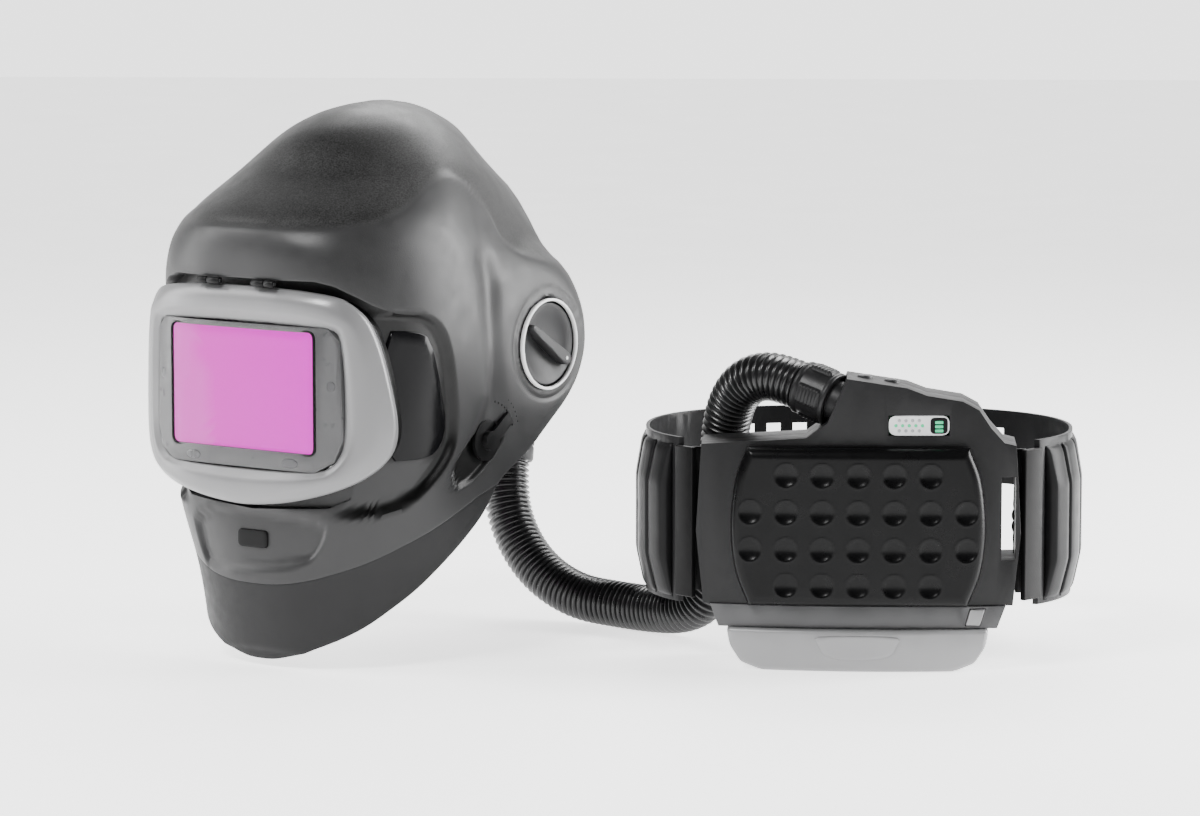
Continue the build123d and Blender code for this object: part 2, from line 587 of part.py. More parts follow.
def build_belt():
    side = belt_ring(0, BELT_THICK, BELT_LOW, BELT_HIGH) & block(96, 160, BELT_FRONT, BELT_BACK, 0, 200)
    rear = belt_ring(0, BELT_THICK, REAR_LOW, BELT_HIGH) & block(30, 160, 100, 210, 0, 200)
    band = side + rear
    for step in range(4):
        x = 42 + SLOT_PITCH * step
        width, height = SLOT_SIZE
        band -= block(x - width / 2, x + width / 2, 150, 230, 136 - height / 2, 136 + height / 2)
    pads = []
    for low, high in PAD_EDGES:
        ring = belt_ring(0.2 + PAD_THICK, PAD_THICK, BELT_LOW + 2, BELT_HIGH - 5)
        pads.append(ring & block(60, 170, low, high, 0, 200))
    save("belt_left", band)
    save("belt_right", mirror_x(band))
    save("belt_pads", *pads, *[mirror_x(pad) for pad in pads])
    build_brackets()
    build_buckle()


def build_brackets():
    """Plates that hold the belt to the blower's two sides."""
    plate = block(-9, 9, -2, 2, 45, 147)
    left = Pos(116.2, 5, 0) * Rot(0, 0, 48) * plate
    save("belt_brackets", left, mirror_x(left))


def build_buckle():
    y = BELT_Y + BELT_HALF_Y
    socket = block(-29.8, 4, y - 6.5, y + 2.5, 104, 148) - block(-20, 4.5, y - 4, y, 110, 142)
    tongue = block(-19.7, 29.8, y - 3.7, y - 0.3, 110.3, 141.7) + block(4.4, 29.8, y - 6, y + 2, 106, 146)
    save("buckle_socket", socket)
    save("buckle_tongue", tongue)


def build_screws():
    """Eight screws on the rear housing, one group."""
    screws = []
    for x in (-88, -30, 30, 88):
        for z in (56, 140):
            back = BACK_Y + BACK_SAG * (x / 112) ** 2
            screws.append(rod_y(3.2, back - 0.5, back + 1.0, x, z) + rod_y(1.5, back - 12, back, x, z))
    save("housing_screws", *screws)


build_shell()
build_side_windows()
build_chin_clip()
build_visor()
build_flip_front()
build_knobs()
build_harness()
build_duct()
build_face_seal()
build_housing()
build_lower_band()
build_battery()
build_filter_cover()
build_fan()
build_outlet()
build_tube()
build_belt()
build_screws()
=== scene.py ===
import json
import math

import bmesh
import bpy
import numpy as np
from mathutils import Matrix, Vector

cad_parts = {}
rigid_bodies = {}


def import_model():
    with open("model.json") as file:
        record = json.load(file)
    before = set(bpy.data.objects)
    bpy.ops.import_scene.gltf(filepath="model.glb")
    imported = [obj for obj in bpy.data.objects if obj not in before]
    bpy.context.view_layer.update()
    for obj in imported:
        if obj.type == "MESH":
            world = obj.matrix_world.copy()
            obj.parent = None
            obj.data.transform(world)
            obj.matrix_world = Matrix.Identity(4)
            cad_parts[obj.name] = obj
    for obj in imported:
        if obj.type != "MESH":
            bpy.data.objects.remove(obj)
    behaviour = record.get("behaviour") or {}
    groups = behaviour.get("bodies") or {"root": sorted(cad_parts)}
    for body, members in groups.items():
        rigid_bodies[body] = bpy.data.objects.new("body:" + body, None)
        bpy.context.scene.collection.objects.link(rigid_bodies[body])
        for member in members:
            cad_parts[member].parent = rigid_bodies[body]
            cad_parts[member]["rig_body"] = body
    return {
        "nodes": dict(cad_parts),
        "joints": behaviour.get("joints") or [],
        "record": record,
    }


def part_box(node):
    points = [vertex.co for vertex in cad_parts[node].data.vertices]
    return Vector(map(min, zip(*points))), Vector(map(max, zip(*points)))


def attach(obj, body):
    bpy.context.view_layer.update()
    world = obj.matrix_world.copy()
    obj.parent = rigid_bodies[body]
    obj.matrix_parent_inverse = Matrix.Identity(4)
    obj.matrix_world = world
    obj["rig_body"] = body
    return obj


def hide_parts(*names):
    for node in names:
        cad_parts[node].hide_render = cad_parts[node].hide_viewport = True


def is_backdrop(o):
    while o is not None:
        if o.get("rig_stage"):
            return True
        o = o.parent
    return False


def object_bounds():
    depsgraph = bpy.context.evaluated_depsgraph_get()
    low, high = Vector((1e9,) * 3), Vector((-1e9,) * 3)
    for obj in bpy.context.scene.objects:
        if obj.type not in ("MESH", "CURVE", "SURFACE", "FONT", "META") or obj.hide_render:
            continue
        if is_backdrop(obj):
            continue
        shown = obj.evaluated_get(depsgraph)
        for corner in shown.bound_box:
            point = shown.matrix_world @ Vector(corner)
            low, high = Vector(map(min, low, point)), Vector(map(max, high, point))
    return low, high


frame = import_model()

# Looks of a powered air respirator: helmet, breathing tube and belt-worn blower, built around
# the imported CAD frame. Lengths in tables and arguments are millimetres unless a comment says
# metres; every mesh is written in metres in the frame's own axes.

cad_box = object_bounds()
MM = 0.001

# ---------------------------------------------------------------- places taken from the frame
JOINTS = {joint["name"]: joint for joint in frame["joints"]}
SIDE = -np.array(JOINTS["flip_hinge"]["axis"])
SIDE = SIDE / np.linalg.norm(SIDE)
UP = np.array((0.0, 0.0, 1.0))
REAR = np.cross(UP, SIDE)
LEFT_PIVOT = np.array(JOINTS["pivot_knob_left_turn"]["pos_m"])
RIGHT_PIVOT = np.array(JOINTS["pivot_knob_right_turn"]["pos_m"])
HELMET_AT = (LEFT_PIVOT + RIGHT_PIVOT) / 2 * np.array((1, 1, 0))
PIVOT_Z = LEFT_PIVOT[2] / MM
# The vent lever's axis on the helmet's side, in Y and Z.
LEVER_AT = (-64.0, 150.0)
SIDES = ((1, "left"), (-1, "right"))
HELMET_TOP = 374.6

# Helmet sections: height, centre in Y, half width, half depth, power.
SECTIONS = np.array([
    (0, -60, 92, 112, 2.3), (60, -62, 98, 117, 2.4), (130, -56, 110, 122, 3.4),
    (211, -52, 112, 126, 3.6), (268, -58, 109, 134, 3.0), (300, -60, 100, 126, 2.5),
    (330, -50, 81, 97, 2.2), (354, -43, 57, 80, 2.0), (366, -42, 38, 57, 2.0),
    (372, -41, 21, 35, 2.0), (HELMET_TOP, -41, 7, 12, 2.0),
], float)
# Rear and lower edge of the helmet in Y and Z, and the seam between shell and neck cover.
REAR_EDGE = np.array([
    (-171, 0), (-170, 10), (-159, 20), (-145, 30), (-134, 40), (-120, 50), (-96, 70), (-78, 85),
    (-62, 100), (-50, 122), (-15, 140), (5, 157), (22, 170), (36, 186), (44, 205), (44, 228),
    (37, 248), (29, 262), (27, 280), (34, 300), (50, 318), (62, 330), (90, 345), (90, 400),
], float)
NECK_SEAM = np.array([
    (-230, 50), (-179, 57), (-166, 66), (-134, 84), (-97, 101), (-70, 113), (-40, 122),
], float)
# The bow of the front: how far its ends lie behind the middle, at which distance, and the power.
BOW_DEPTH, BOW_HALF, BOW_POWER = 31.0, 107.0, 4
POCKET_FRONT = -169.0
VISOR_FRONT = POCKET_FRONT - 6
# The pocket's upper and lower edge by distance from the middle: it follows the flip-up front.
POCKET_REACH = (0, 60, 72, 84, 91, 97, 103, 112)
POCKET_TOP = (263.4, 263.2, 260, 252.5, 247, 243, 240, 240)
POCKET_FOOT = (108, 112, 117, 123, 127, 133, 140, 146)
BEZEL_FRONT, WINDOW_FRONT, SENSOR_FRONT = -194.0, -187.0, -190.6


def bow(x, front):
    """Y of the bowed front of the helmet at a distance from its middle."""
    return front + BOW_DEPTH * np.abs(x / BOW_HALF) ** BOW_POWER


def on_helmet(points):
    """Points in the helmet's own axes, in millimetres, as world points in metres."""
    points = np.asarray(points, float) * MM
    return HELMET_AT + points[..., :1] * SIDE + points[..., 1:2] * REAR + points[..., 2:] * UP


def on_blower(points):
    """Points in the blower's axes, which are the frame's, as world points in metres."""
    return np.asarray(points, float) * MM


# ---------------------------------------------------------------- materials
# Sockets of a Mix node set to colours, and the length of a Wave texture's band at scale 1.
MIX_FACTOR, MIX_LOW, MIX_HIGH, MIX_RESULT = 0, 6, 7, 2
WAVE_BAND = 0.314


def blank(name):
    """A new material with its node tree and its shader."""
    material = bpy.data.materials.new(name)
    material.use_nodes = True
    return material, material.node_tree, material.node_tree.nodes["Principled BSDF"]


def mixed(tree, factor, low, high):
    """Colour between two by a factor from 0 to 1; each is a colour or a socket."""
    mix = tree.nodes.new("ShaderNodeMix")
    mix.data_type = "RGBA"
    tree.links.new(factor, mix.inputs[MIX_FACTOR])
    for place, colour in ((MIX_LOW, low), (MIX_HIGH, high)):
        if isinstance(colour, bpy.types.NodeSocket):
            tree.links.new(colour, mix.inputs[place])
        else:
            mix.inputs[place].default_value = (*colour, 1)
    return mix.outputs[MIX_RESULT]


def marked(tree, name):
    """Factor that a mesh attribute gives."""
    node = tree.nodes.new("ShaderNodeAttribute")
    node.attribute_name = name
    return node.outputs["Fac"]


def noise(tree, size, detail=3.0):
    """Object-space noise whose spots are about size metres wide."""
    place = tree.nodes.get("Texture Coordinate") or tree.nodes.new("ShaderNodeTexCoord")
    node = tree.nodes.new("ShaderNodeTexNoise")
    node.inputs["Scale"].default_value = 1 / size
    node.inputs["Detail"].default_value = detail
    tree.links.new(place.outputs["Object"], node.inputs["Vector"])
    return node.outputs["Fac"]


def spread(tree, factor, low, high, between=(0.3, 0.7)):
    """A number from low to high as the factor crosses a range; noise mostly keeps to 0.3 to 0.7."""
    node = tree.nodes.new("ShaderNodeMapRange")
    for socket, value in zip(("From Min", "From Max", "To Min", "To Max"), (*between, low, high)):
        node.inputs[socket].default_value = value
    tree.links.new(factor, node.inputs["Value"])
    return node.outputs["Result"]


def bump(tree, height, depth, chain=None):
    """Bump of a depth in metres, on top of an earlier bump."""
    node = tree.nodes.new("ShaderNodeBump")
    node.inputs["Distance"].default_value = depth
    tree.links.new(height, node.inputs["Height"])
    if chain:
        tree.links.new(chain, node.inputs["Normal"])
    return node.outputs["Normal"]


def woven(tree, size, normal):
    """Two crossed sets of bumps, a size in metres apart, on top of an earlier bump."""
    for axis in ("X", "Z"):
        wave = tree.nodes.new("ShaderNodeTexWave")
        wave.bands_direction = axis
        wave.inputs["Scale"].default_value = WAVE_BAND / size
        tree.links.new(tree.nodes["Texture Coordinate"].outputs["Object"], wave.inputs["Vector"])
        normal = bump(tree, wave.outputs["Fac"], size * 0.2, normal)
    return normal


def surface(name, colour, rough, grain=0.00004, grain_size=0.0009, vary=0.12, spot=0.03, metal=0.0,
            coat=0.0, specular=0.5, weave=0.0, alpha=1.0, glow=0.0):
    """One finished material: uneven colour, uneven gloss, and a fine moulded or woven grain.

    The depth and size of the grain, the size of the colour's spots and the weave are in metres.
    """
    material, tree, shader = blank(name)
    low = [c * (1 - vary) for c in colour]
    high = [min(1.0, c * (1 + vary)) for c in colour]
    normal = bump(tree, noise(tree, grain_size, 2.0), grain)
    linked = {
        "Base Color": mixed(tree, noise(tree, spot), low, high),
        "Roughness": spread(tree, noise(tree, spot / 4), rough * 0.88, min(1.0, rough * 1.12)),
        "Normal": woven(tree, weave, normal) if weave else normal,
    }
    for socket, value in linked.items():
        tree.links.new(value, shader.inputs[socket])
    shader.inputs["Metallic"].default_value = metal
    shader.inputs["Coat Weight"].default_value = coat
    shader.inputs["Coat Roughness"].default_value = 0.12
    shader.inputs["Specular IOR Level"].default_value = specular
    shader.inputs["Alpha"].default_value = alpha
    if glow:
        shader.inputs["Emission Color"].default_value = (*colour, 1)
        shader.inputs["Emission Strength"].default_value = glow
    return material


def shell_surface():
    """Painted shell: satin sides and brow, a coarse speckled dome, and painted shade that turns the side
    recesses and lever wells near black.
    """
    material = surface("shell_paint", (0.024, 0.024, 0.0245), 0.4, 0.00005, 0.0007, 0.1, 0.05, specular=0.3)
    tree = material.node_tree
    colour = tree.nodes["Principled BSDF"].inputs["Base Color"]
    speck = spread(tree, noise(tree, 0.0011, 2.0), 0.004, 0.03)
    painted = mixed(tree, marked(tree, "dome"), colour.links[0].from_socket, speck)
    # Painted shade: inside the side recesses and lever wells the colour goes to near black, where shade
    # falls.
    tree.links.new(mixed(tree, marked(tree, "recess"), painted, (0.002, 0.002, 0.002)), colour)
    return material


def window_surface():
    """Coated filter glass with a painted glow: magenta emission, lighter towards one side, and a painted
    highlight as a soft lighter wedge.
    """
    material, tree, shader = blank("window_painted_glow")
    # Painted glow, lighter towards one side, and a painted highlight wedge on top of it.
    base = mixed(tree, marked(tree, "across"), (1.0, 0.07, 0.72), (1.0, 0.0, 0.8))
    light = mixed(tree, marked(tree, "painted_highlight_wedge"), base, (1.0, 0.2, 0.75))
    tree.links.new(light, shader.inputs["Emission Color"])
    tree.links.new(spread(tree, noise(tree, 0.02), 0.1, 0.16), shader.inputs["Roughness"])
    shader.inputs["Base Color"].default_value = (0.12, 0.0, 0.09, 1)
    # Painted glow: the glass shines by emission though it is no lamp.
    shader.inputs["Emission Strength"].default_value = 1.3
    shader.inputs["Specular IOR Level"].default_value = 0.15
    return material


# The finish of each slot: colour, roughness, then depth and size of the grain, share by which the
# colour varies and size of its spots.
LOOKS = {
    "shell_black": shell_surface(),
    "neck_black": surface("neck_rubber", (0.017, 0.017, 0.0175), 0.48, 0.00005, 0.0008, specular=0.16),
    "bezel_grey": surface("bezel_satin", (0.19, 0.19, 0.193), 0.34, 0.00003, 0.0006, 0.05, 0.04, metal=0.25),
    "frame_black": surface("frame_plastic", (0.005, 0.005, 0.0052), 0.4, specular=0.12),
    "clear_visor": surface("visor_clear", (0.05, 0.05, 0.052), 0.06, 0.0, vary=0.05, alpha=0.1),
    "clear_plate": surface(
        "plate_clear", (0.02, 0.02, 0.021), 0.05, 0.0, vary=0.05, alpha=0.05, specular=0.3
    ),
    "filter_grey": surface("filter_plastic", (0.085, 0.085, 0.087), 0.3, 0.00003),
    # Filter glass with a painted glow and a painted highlight.
    "filter_window": window_surface(),
    "sensor_dark": surface("sensor_glass", (0.03, 0.03, 0.034), 0.12, 0.0, vary=0.2, spot=0.004, coat=0.7),
    "side_window": surface("side_glass", (0.003, 0.003, 0.0035), 0.16, 0.0, specular=0.15),
    "knob_black": surface("knob_plastic", (0.03, 0.03, 0.031), 0.42, 0.00005, 0.0008, specular=0.25),
    "ring_white": surface("ring_paint", (0.88, 0.88, 0.88), 0.35, 0.00002),
    "harness_plastic": surface("harness_plastic", (0.03, 0.03, 0.032), 0.5, 0.00006, 0.001),
    "pad_fabric": surface("pad_knit", (0.022, 0.022, 0.026), 0.9, 0.0001, 0.001, weave=0.0016, specular=0.2),
    "seal_fabric": surface(
        "seal_cloth", (0.018, 0.018, 0.021), 0.92, 0.0001, 0.001, weave=0.0012, specular=0.2
    ),
    "duct_black": surface("duct_plastic", (0.011, 0.011, 0.0115), 0.45, specular=0.2),
    "tube_rubber": surface(
        "tube_rubber", (0.009, 0.009, 0.0095), 0.3, 0.00003, 0.0012, coat=0.15, specular=0.45
    ),
    "cuff_black": surface("cuff_rubber", (0.012, 0.012, 0.0125), 0.4, specular=0.25),
    "housing_black": surface("housing_satin", (0.013, 0.013, 0.0135), 0.42, 0.00006, 0.0008, specular=0.2),
    "cover_black": surface(
        "cover_gloss", (0.003, 0.003, 0.0032), 0.3, 0.00001, 0.0007, 0.08, 0.05, specular=0.14
    ),
    "band_dark": surface("band_satin", (0.055, 0.055, 0.057), 0.36, 0.00003, 0.0008),
    "battery_grey": surface(
        "battery_satin", (0.27, 0.27, 0.274), 0.36, 0.00004, 0.0007, 0.04, 0.05, metal=0.2
    ),
    "battery_cell": surface("cell_wrap", (0.04, 0.13, 0.3), 0.35),
    "filter_media": surface("filter_fleece", (0.6, 0.6, 0.57), 0.95, 0.0002, 0.0015),
    "spark_mesh": surface("spark_mesh", (0.4, 0.4, 0.41), 0.35, 0.00005, metal=0.9, weave=0.001),
    "fan_plastic": surface("fan_plastic", (0.05, 0.05, 0.055), 0.45),
    "motor_steel": surface("motor_steel", (0.45, 0.45, 0.46), 0.3, metal=0.95),
    "board_green": surface("board_green", (0.02, 0.12, 0.05), 0.4, vary=0.2, spot=0.006),
    "panel_white": surface("panel_white", (0.7, 0.71, 0.71), 0.25, 0.00001, coat=0.3),
    "button_grey": surface("button_rubber", (0.05, 0.05, 0.052), 0.45),
    "belt_black": surface("belt_plastic", (0.013, 0.013, 0.0135), 0.33, 0.00005, 0.001, specular=0.12),
    "pad_black": surface("rib_rubber", (0.011, 0.011, 0.0115), 0.34, 0.00005, 0.0009, specular=0.1),
    "steel": surface("steel", (0.3, 0.3, 0.31), 0.3, metal=1.0, vary=0.06),
}
LED_GREEN = surface("led_green", (0.02, 0.5, 0.22), 0.3, 0.0, glow=0.35)
LED_GREY = surface("led_grey", (0.33, 0.35, 0.35), 0.35, 0.0)
MARK_WHITE = surface("mark_white", (0.7, 0.7, 0.7), 0.4, 0.0)


def dress(piece, slot, material=None):
    """Give a piece its material, the one of its slot unless another is given."""
    piece.data.materials.clear()
    piece.data.materials.append(material or LOOKS[slot])
    return piece


# ---------------------------------------------------------------- mesh helpers
def placed(name, data):
    """A new object in the scene."""
    piece = bpy.data.objects.new(name, data)
    bpy.context.scene.collection.objects.link(piece)
    return piece


def new_piece(name, points, faces, body, slot, replaced=(), material=None):
    """A smooth mesh piece from world points in metres, riding on a body."""
    mesh = bpy.data.meshes.new(name)
    mesh.from_pydata([tuple(p) for p in np.asarray(points).reshape(-1, 3)], [], faces)
    mesh.validate()
    piece = placed(name, mesh)
    face_outwards(mesh)
    mesh.shade_smooth()
    dress(piece, slot, material)
    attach(piece, body)
    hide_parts(*replaced)
    return piece


def face_outwards(mesh):
    """Join points that coincide, and turn every face the same way."""
    work = bmesh.new()
    work.from_mesh(mesh)
    bmesh.ops.remove_doubles(work, verts=work.verts, dist=1e-6)
    bmesh.ops.recalc_face_normals(work, faces=work.faces)
    work.to_mesh(mesh)
    work.free()


def grid_faces(rows, columns, wrap=False):
    """Quads of a grid of points; wrap joins the last column to the first."""
    faces = []
    for row in range(rows - 1):
        for column in range(columns if wrap else columns - 1):
            after = (column + 1) % columns
            faces.append((row * columns + column, row * columns + after,
                          (row + 1) * columns + after, (row + 1) * columns + column))
    return faces


def rings_piece(name, rings, body, slot, replaced=(), closed=False, material=None):
    """Loops of equal length joined in order; the ends are capped unless the last meets the first."""
    rings = np.asarray(rings)
    count, around = rings.shape[:2]
    faces = grid_faces(count, around, wrap=True)
    if closed:
        last = (count - 1) * around
        faces += [(last + i, last + (i + 1) % around, (i + 1) % around, i) for i in range(around)]
    else:
        faces += [tuple(range(around)), tuple((count - 1) * around + i for i in range(around))]
    return new_piece(name, rings, faces, body, slot, replaced, material)


def frame_about(direction):
    """A direction as a unit vector, and two more square to it."""
    direction = np.asarray(direction, float) / np.linalg.norm(direction)
    first = np.cross(direction, UP if abs(direction[2]) < 0.9 else SIDE)
    first = first / np.linalg.norm(first)
    return direction, first, np.cross(direction, first)


def lathe(name, start, direction, profile, body, slot, replaced=(), around=64, shape=None, material=None):
    """A turned piece: (distance along, radius) pairs about an axis; shape varies the radius by angle."""
    along, first, second = frame_about(direction)
    turns = np.arange(around) * 2 * math.pi / around
    rings = []
    for distance, radius in profile:
        wide = radius if shape is None else shape(distance, radius, turns)
        spoke = np.outer(np.cos(turns), first) + np.outer(np.sin(turns), second)
        spoke = spoke * (np.ones(around) * wide)[:, None]
        rings.append(np.asarray(start) + along * distance * MM + spoke * MM)
    hollow = profile[0][0] == profile[-1][0]
    rings = rings[:-1] if hollow else rings
    return rings_piece(name, rings, body, slot, replaced, closed=hollow, material=material)


def rounded(outline, passes=3):
    """Outline with its corners cut repeatedly, which rounds them."""
    points = np.asarray(outline, float)
    for _ in range(passes):
        after = np.roll(points, -1, axis=0)
        points = np.stack([points * 0.75 + after * 0.25, points * 0.25 + after * 0.75], 1).reshape(-1, 2)
    return points


def rounded_box(x0, x1, z0, z1, radius):
    """Rectangle whose four corners are arcs."""
    corners = [(x1 - radius, z1 - radius, 0), (x0 + radius, z1 - radius, 90),
               (x0 + radius, z0 + radius, 180), (x1 - radius, z0 + radius, 270)]
    points = []
    for x, z, first in corners:
        for step in range(6):
            turn = math.radians(first + 18 * step)
            points.append((x + radius * math.cos(turn), z + radius * math.sin(turn)))
    return points


def mirrored(half):
    """Outline from its right half and the same half turned over."""
    return list(half) + [(-x, z) for x, z in reversed(half)]


def dense(outline, steps=12):
    """Outline with extra points along each edge."""
    points = np.asarray(outline, float)
    after = np.roll(points, -1, axis=0)
    parts = [points + (after - points) * step / steps for step in range(steps)]
    return np.stack(parts, 1).reshape(-1, 2)


def by_angle(outline, centre, count):
    """Star-shaped outline resampled at equal angles about a centre."""
    points = dense(outline) - centre
    angles = np.arctan2(points[:, 1], points[:, 0])
    order = np.argsort(angles)
    wanted = np.linspace(-math.pi, math.pi, count, endpoint=False)
    radius = np.interp(wanted, angles[order], np.hypot(*points[order].T), period=2 * math.pi)
    return centre + np.stack([radius * np.cos(wanted), radius * np.sin(wanted)], 1)


def crowned_slab(name, outline, place, depths, edge, body, slot, replaced=(), passes=2, count=96,
                 material=None):
    """Closed plate from its back to its front, whose front edge is rounded.

    place(u, v, depth) bends it into position.
    """
    flat = rounded(outline, passes)
    centre = (flat.min(0) + flat.max(0)) / 2
    flat = by_angle(flat, centre, count)
    spoke = flat - centre
    length = np.hypot(*spoke.T)[:, None]
    back, front = depths
    rise = math.copysign(edge, front - back)
    rings = [place(*flat.T, back)]
    for turn in np.arange(5) * math.pi / 8:
        inner = centre + spoke * (1 - edge * (1 - math.cos(turn)) / length)
        rings.append(place(*inner.T, front - rise * (1 - math.sin(turn))))
    for share in (0.8, 0.6, 0.4, 0.2, 0.02):
        inner = centre + spoke * (1 - edge / length) * share
        rings.append(place(*inner.T, front))
    return rings_piece(name, rings, body, slot, replaced, material=material)


def ring_frame(name, outer, inner, profile, place, body, slot, replaced=()):
    """Closed frame between two outlines, from (share of the way inwards, depth) pairs."""
    rings = [place(*(outer + (inner - outer) * share).T, depth) for share, depth in profile]
    rings_piece(name, rings, body, slot, replaced, closed=True)


def bevelled(node, slot, width, segments=3, angle=32, material=None):
    """A copy of a CAD node with its edges rounded, standing for that node."""
    source = frame["nodes"][node]
    mesh = source.data.copy()
    work = bmesh.new()
    work.from_mesh(mesh)
    bmesh.ops.remove_doubles(work, verts=work.verts, dist=2e-6)
    bmesh.ops.dissolve_limit(work, angle_limit=math.radians(0.6), verts=work.verts, edges=work.edges)
    work.to_mesh(mesh)
    work.free()
    mesh.shade_smooth()
    piece = placed(f"{node}_look", mesh)
    edge = piece.modifiers.new("edge", "BEVEL")
    edge.width = width * MM
    edge.segments = segments
    edge.limit_method = "ANGLE"
    edge.angle_limit = math.radians(angle)
    edge.harden_normals = True
    dress(piece, slot, material)
    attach(piece, source["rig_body"])
    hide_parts(node)
    return piece


# ---------------------------------------------------------------- helmet surface
def smooth_table(table, steps=24):
    """Catmull-Rom curve through the rows of a table."""
    ends = np.vstack([2 * table[0] - table[1], table, 2 * table[-1] - table[-2]])
    rows = []
    for a, b, c, d in zip(ends, ends[1:], ends[2:], ends[3:]):
        t = np.linspace(0, 1, steps, endpoint=False)[:, None]
        curve = (2 * a - 5 * b + 4 * c - d) * t ** 2 + (3 * b - a - 3 * c + d) * t ** 3
        rows.append(0.5 * (2 * b + (c - a) * t + curve))
    return np.vstack(rows + [table[-1:]])


SMOOTH = smooth_table(SECTIONS)


def section(z):
    """Centre in Y, half width, half depth and power of the smooth body at a height."""
    return [np.interp(z, SMOOTH[:, 0], SMOOTH[:, column]) for column in range(1, 5)]


def around_helmet(turn, z):
    """Point of the smooth body at a turn from the front, in radians, and a height."""
    centre, half_x, half_y, power = section(z)
    reach = (np.abs(np.sin(turn)) / half_x) ** power + (np.abs(np.cos(turn)) / half_y) ** power
    reach = reach ** (-1 / power)
    return np.stack([reach * np.sin(turn), centre - reach * np.cos(turn), z], -1)


def rim_table():
    """Turn from the front at which each height reaches the rear edge."""
    heights = np.linspace(0, HELMET_TOP, 500)
    turns = np.linspace(0, math.pi, 721)
    found = []
    for z in heights:
        y = around_helmet(turns, np.full_like(turns, z))[:, 1]
        beyond = np.nonzero(y > np.interp(z, REAR_EDGE[:, 1], REAR_EDGE[:, 0]))[0]
        found.append(turns[beyond[0]] if len(beyond) else math.pi)
    return heights, np.array(found)


RIM_HEIGHTS, RIM_TURNS = rim_table()
RIM_TURNS = np.convolve(np.pad(RIM_TURNS, 9, "edge"), np.ones(19) / 19, "valid")


# How much the rear of the dome draws in, by height: heights, share across, share along.
DRAW_HEIGHTS = (255, 270, 285, 300, 315, 330, 345, 375)
DRAW_ACROSS = (1, 0.95, 0.9, 0.88, 0.88, 0.88, 0.86, 0.8)
DRAW_ALONG = (1, 1, 1, 1, 1, 0.94, 0.88, 0.8)


def body_point(share, z):
    """Point of the helmet between its rims: share runs from -1 to 1 through the front."""
    points = around_helmet(share * np.interp(z, RIM_HEIGHTS, RIM_TURNS), z)
    behind = points[..., 1] - section(z)[0]
    weight = ease(behind - 20, 110)
    points[..., 0] *= 1 - (1 - np.interp(z, DRAW_HEIGHTS, DRAW_ACROSS)) * weight
    points[..., 1] -= np.maximum(0, behind) * (1 - np.interp(z, DRAW_HEIGHTS, DRAW_ALONG)) * weight
    return points


def reach_to(y, z, segments):
    """Distance to the nearest of some straight segments."""
    nearest = np.full(y.shape, 1e9)
    for (y0, z0), (y1, z1) in segments:
        run = np.array((y1 - y0, z1 - z0))
        t = np.clip(((y - y0) * run[0] + (z - z0) * run[1]) / (run @ run), 0, 1)
        nearest = np.minimum(nearest, np.hypot(y - y0 - t * run[0], z - z0 - t * run[1]))
    return nearest


def depth_inside(y, z, outline):
    """Distance into a closed outline, negative outside it."""
    outline = np.asarray(outline, float)
    edges = list(zip(outline, np.roll(outline, -1, axis=0)))
    inside = np.zeros(y.shape, bool)
    for (y0, z0), (y1, z1) in edges:
        level = np.where(z1 == z0, 1e-9, z1 - z0)
        inside ^= ((z0 > z) != (z1 > z)) & (y < y0 + (z - z0) * (y1 - y0) / level)
    nearest = reach_to(y, z, edges)
    return np.where(inside, nearest, -nearest)


def ease(value, width):
    """0 to 1 across a width centred on zero."""
    t = np.clip(value / width + 0.5, 0, 1)
    return t * t * (3 - 2 * t)


def oval_reach(share, power):
    """Share of one half axis of a superellipse reached at a share of the other."""
    return (1 - np.minimum(1, np.abs(share)) ** power) ** (1 / power)


# Outlines on the helmet's side, in Y and Z, and on its chin, in X and Z.
RECESS = rounded([
    (-215, 243), (-142, 241), (-117, 236), (-104, 216), (-97, 160), (-104, 142), (-124, 122),
    (-150, 108), (-215, 106),
])
RECESS_FOOT = [(-170, 142.5), (-113, 142.5), (-128, 125), (-148, 114), (-170, 112)]
SATIN = rounded([
    (-250, 297), (-165, 296), (-127, 305), (-88, 324), (-68, 330), (-52, 320), (-38, 300),
    (-36, 284), (-10, 268), (60, 262), (60, 0), (-250, 0),
])
LEVER_RECESS = rounded([
    (-100, 131), (-92, 146), (-66, 161), (-50, 160), (-46, 150), (-62, 136), (-80, 124), (-96, 121),
])
CHIN_RECESS = rounded([(-60, 106), (60, 106), (53, 84), (40, 72), (-42, 64), (-52, 70)], 2)
VALLEY = [(-62, 268), (-60, 237), (-57, 208), (-58, 178), (-72, 150)]
VALLEY_DEPTH, VALLEY_WIDTH = 3.0, 10.0
DOME_DROP, RECESS_DEPTH, LEVER_DEPTH, CHIN_DEPTH = 1.8, 6.0, 3.5, 3.5
# The knob's seat: radius of each feature, width of its edge, and X of its face or its depth.
LOBE_RADIUS, LOBE_EDGE, LOBE_FACE = 56, 34, 113.0
BOWL_RADIUS, BOWL_EDGE, BOWL_FACE = 30.4, 1.6, 105.4
GROOVE_RADIUS, GROOVE_WIDTH, GROOVE_DEPTH = 37.5, 1.2, 0.9


def dome_share(points):
    """1 on the speckled dome, 0 on the satin sides and brow."""
    return 1 - ease(depth_inside(points[..., 1], points[..., 2], SATIN) + 1, 5)


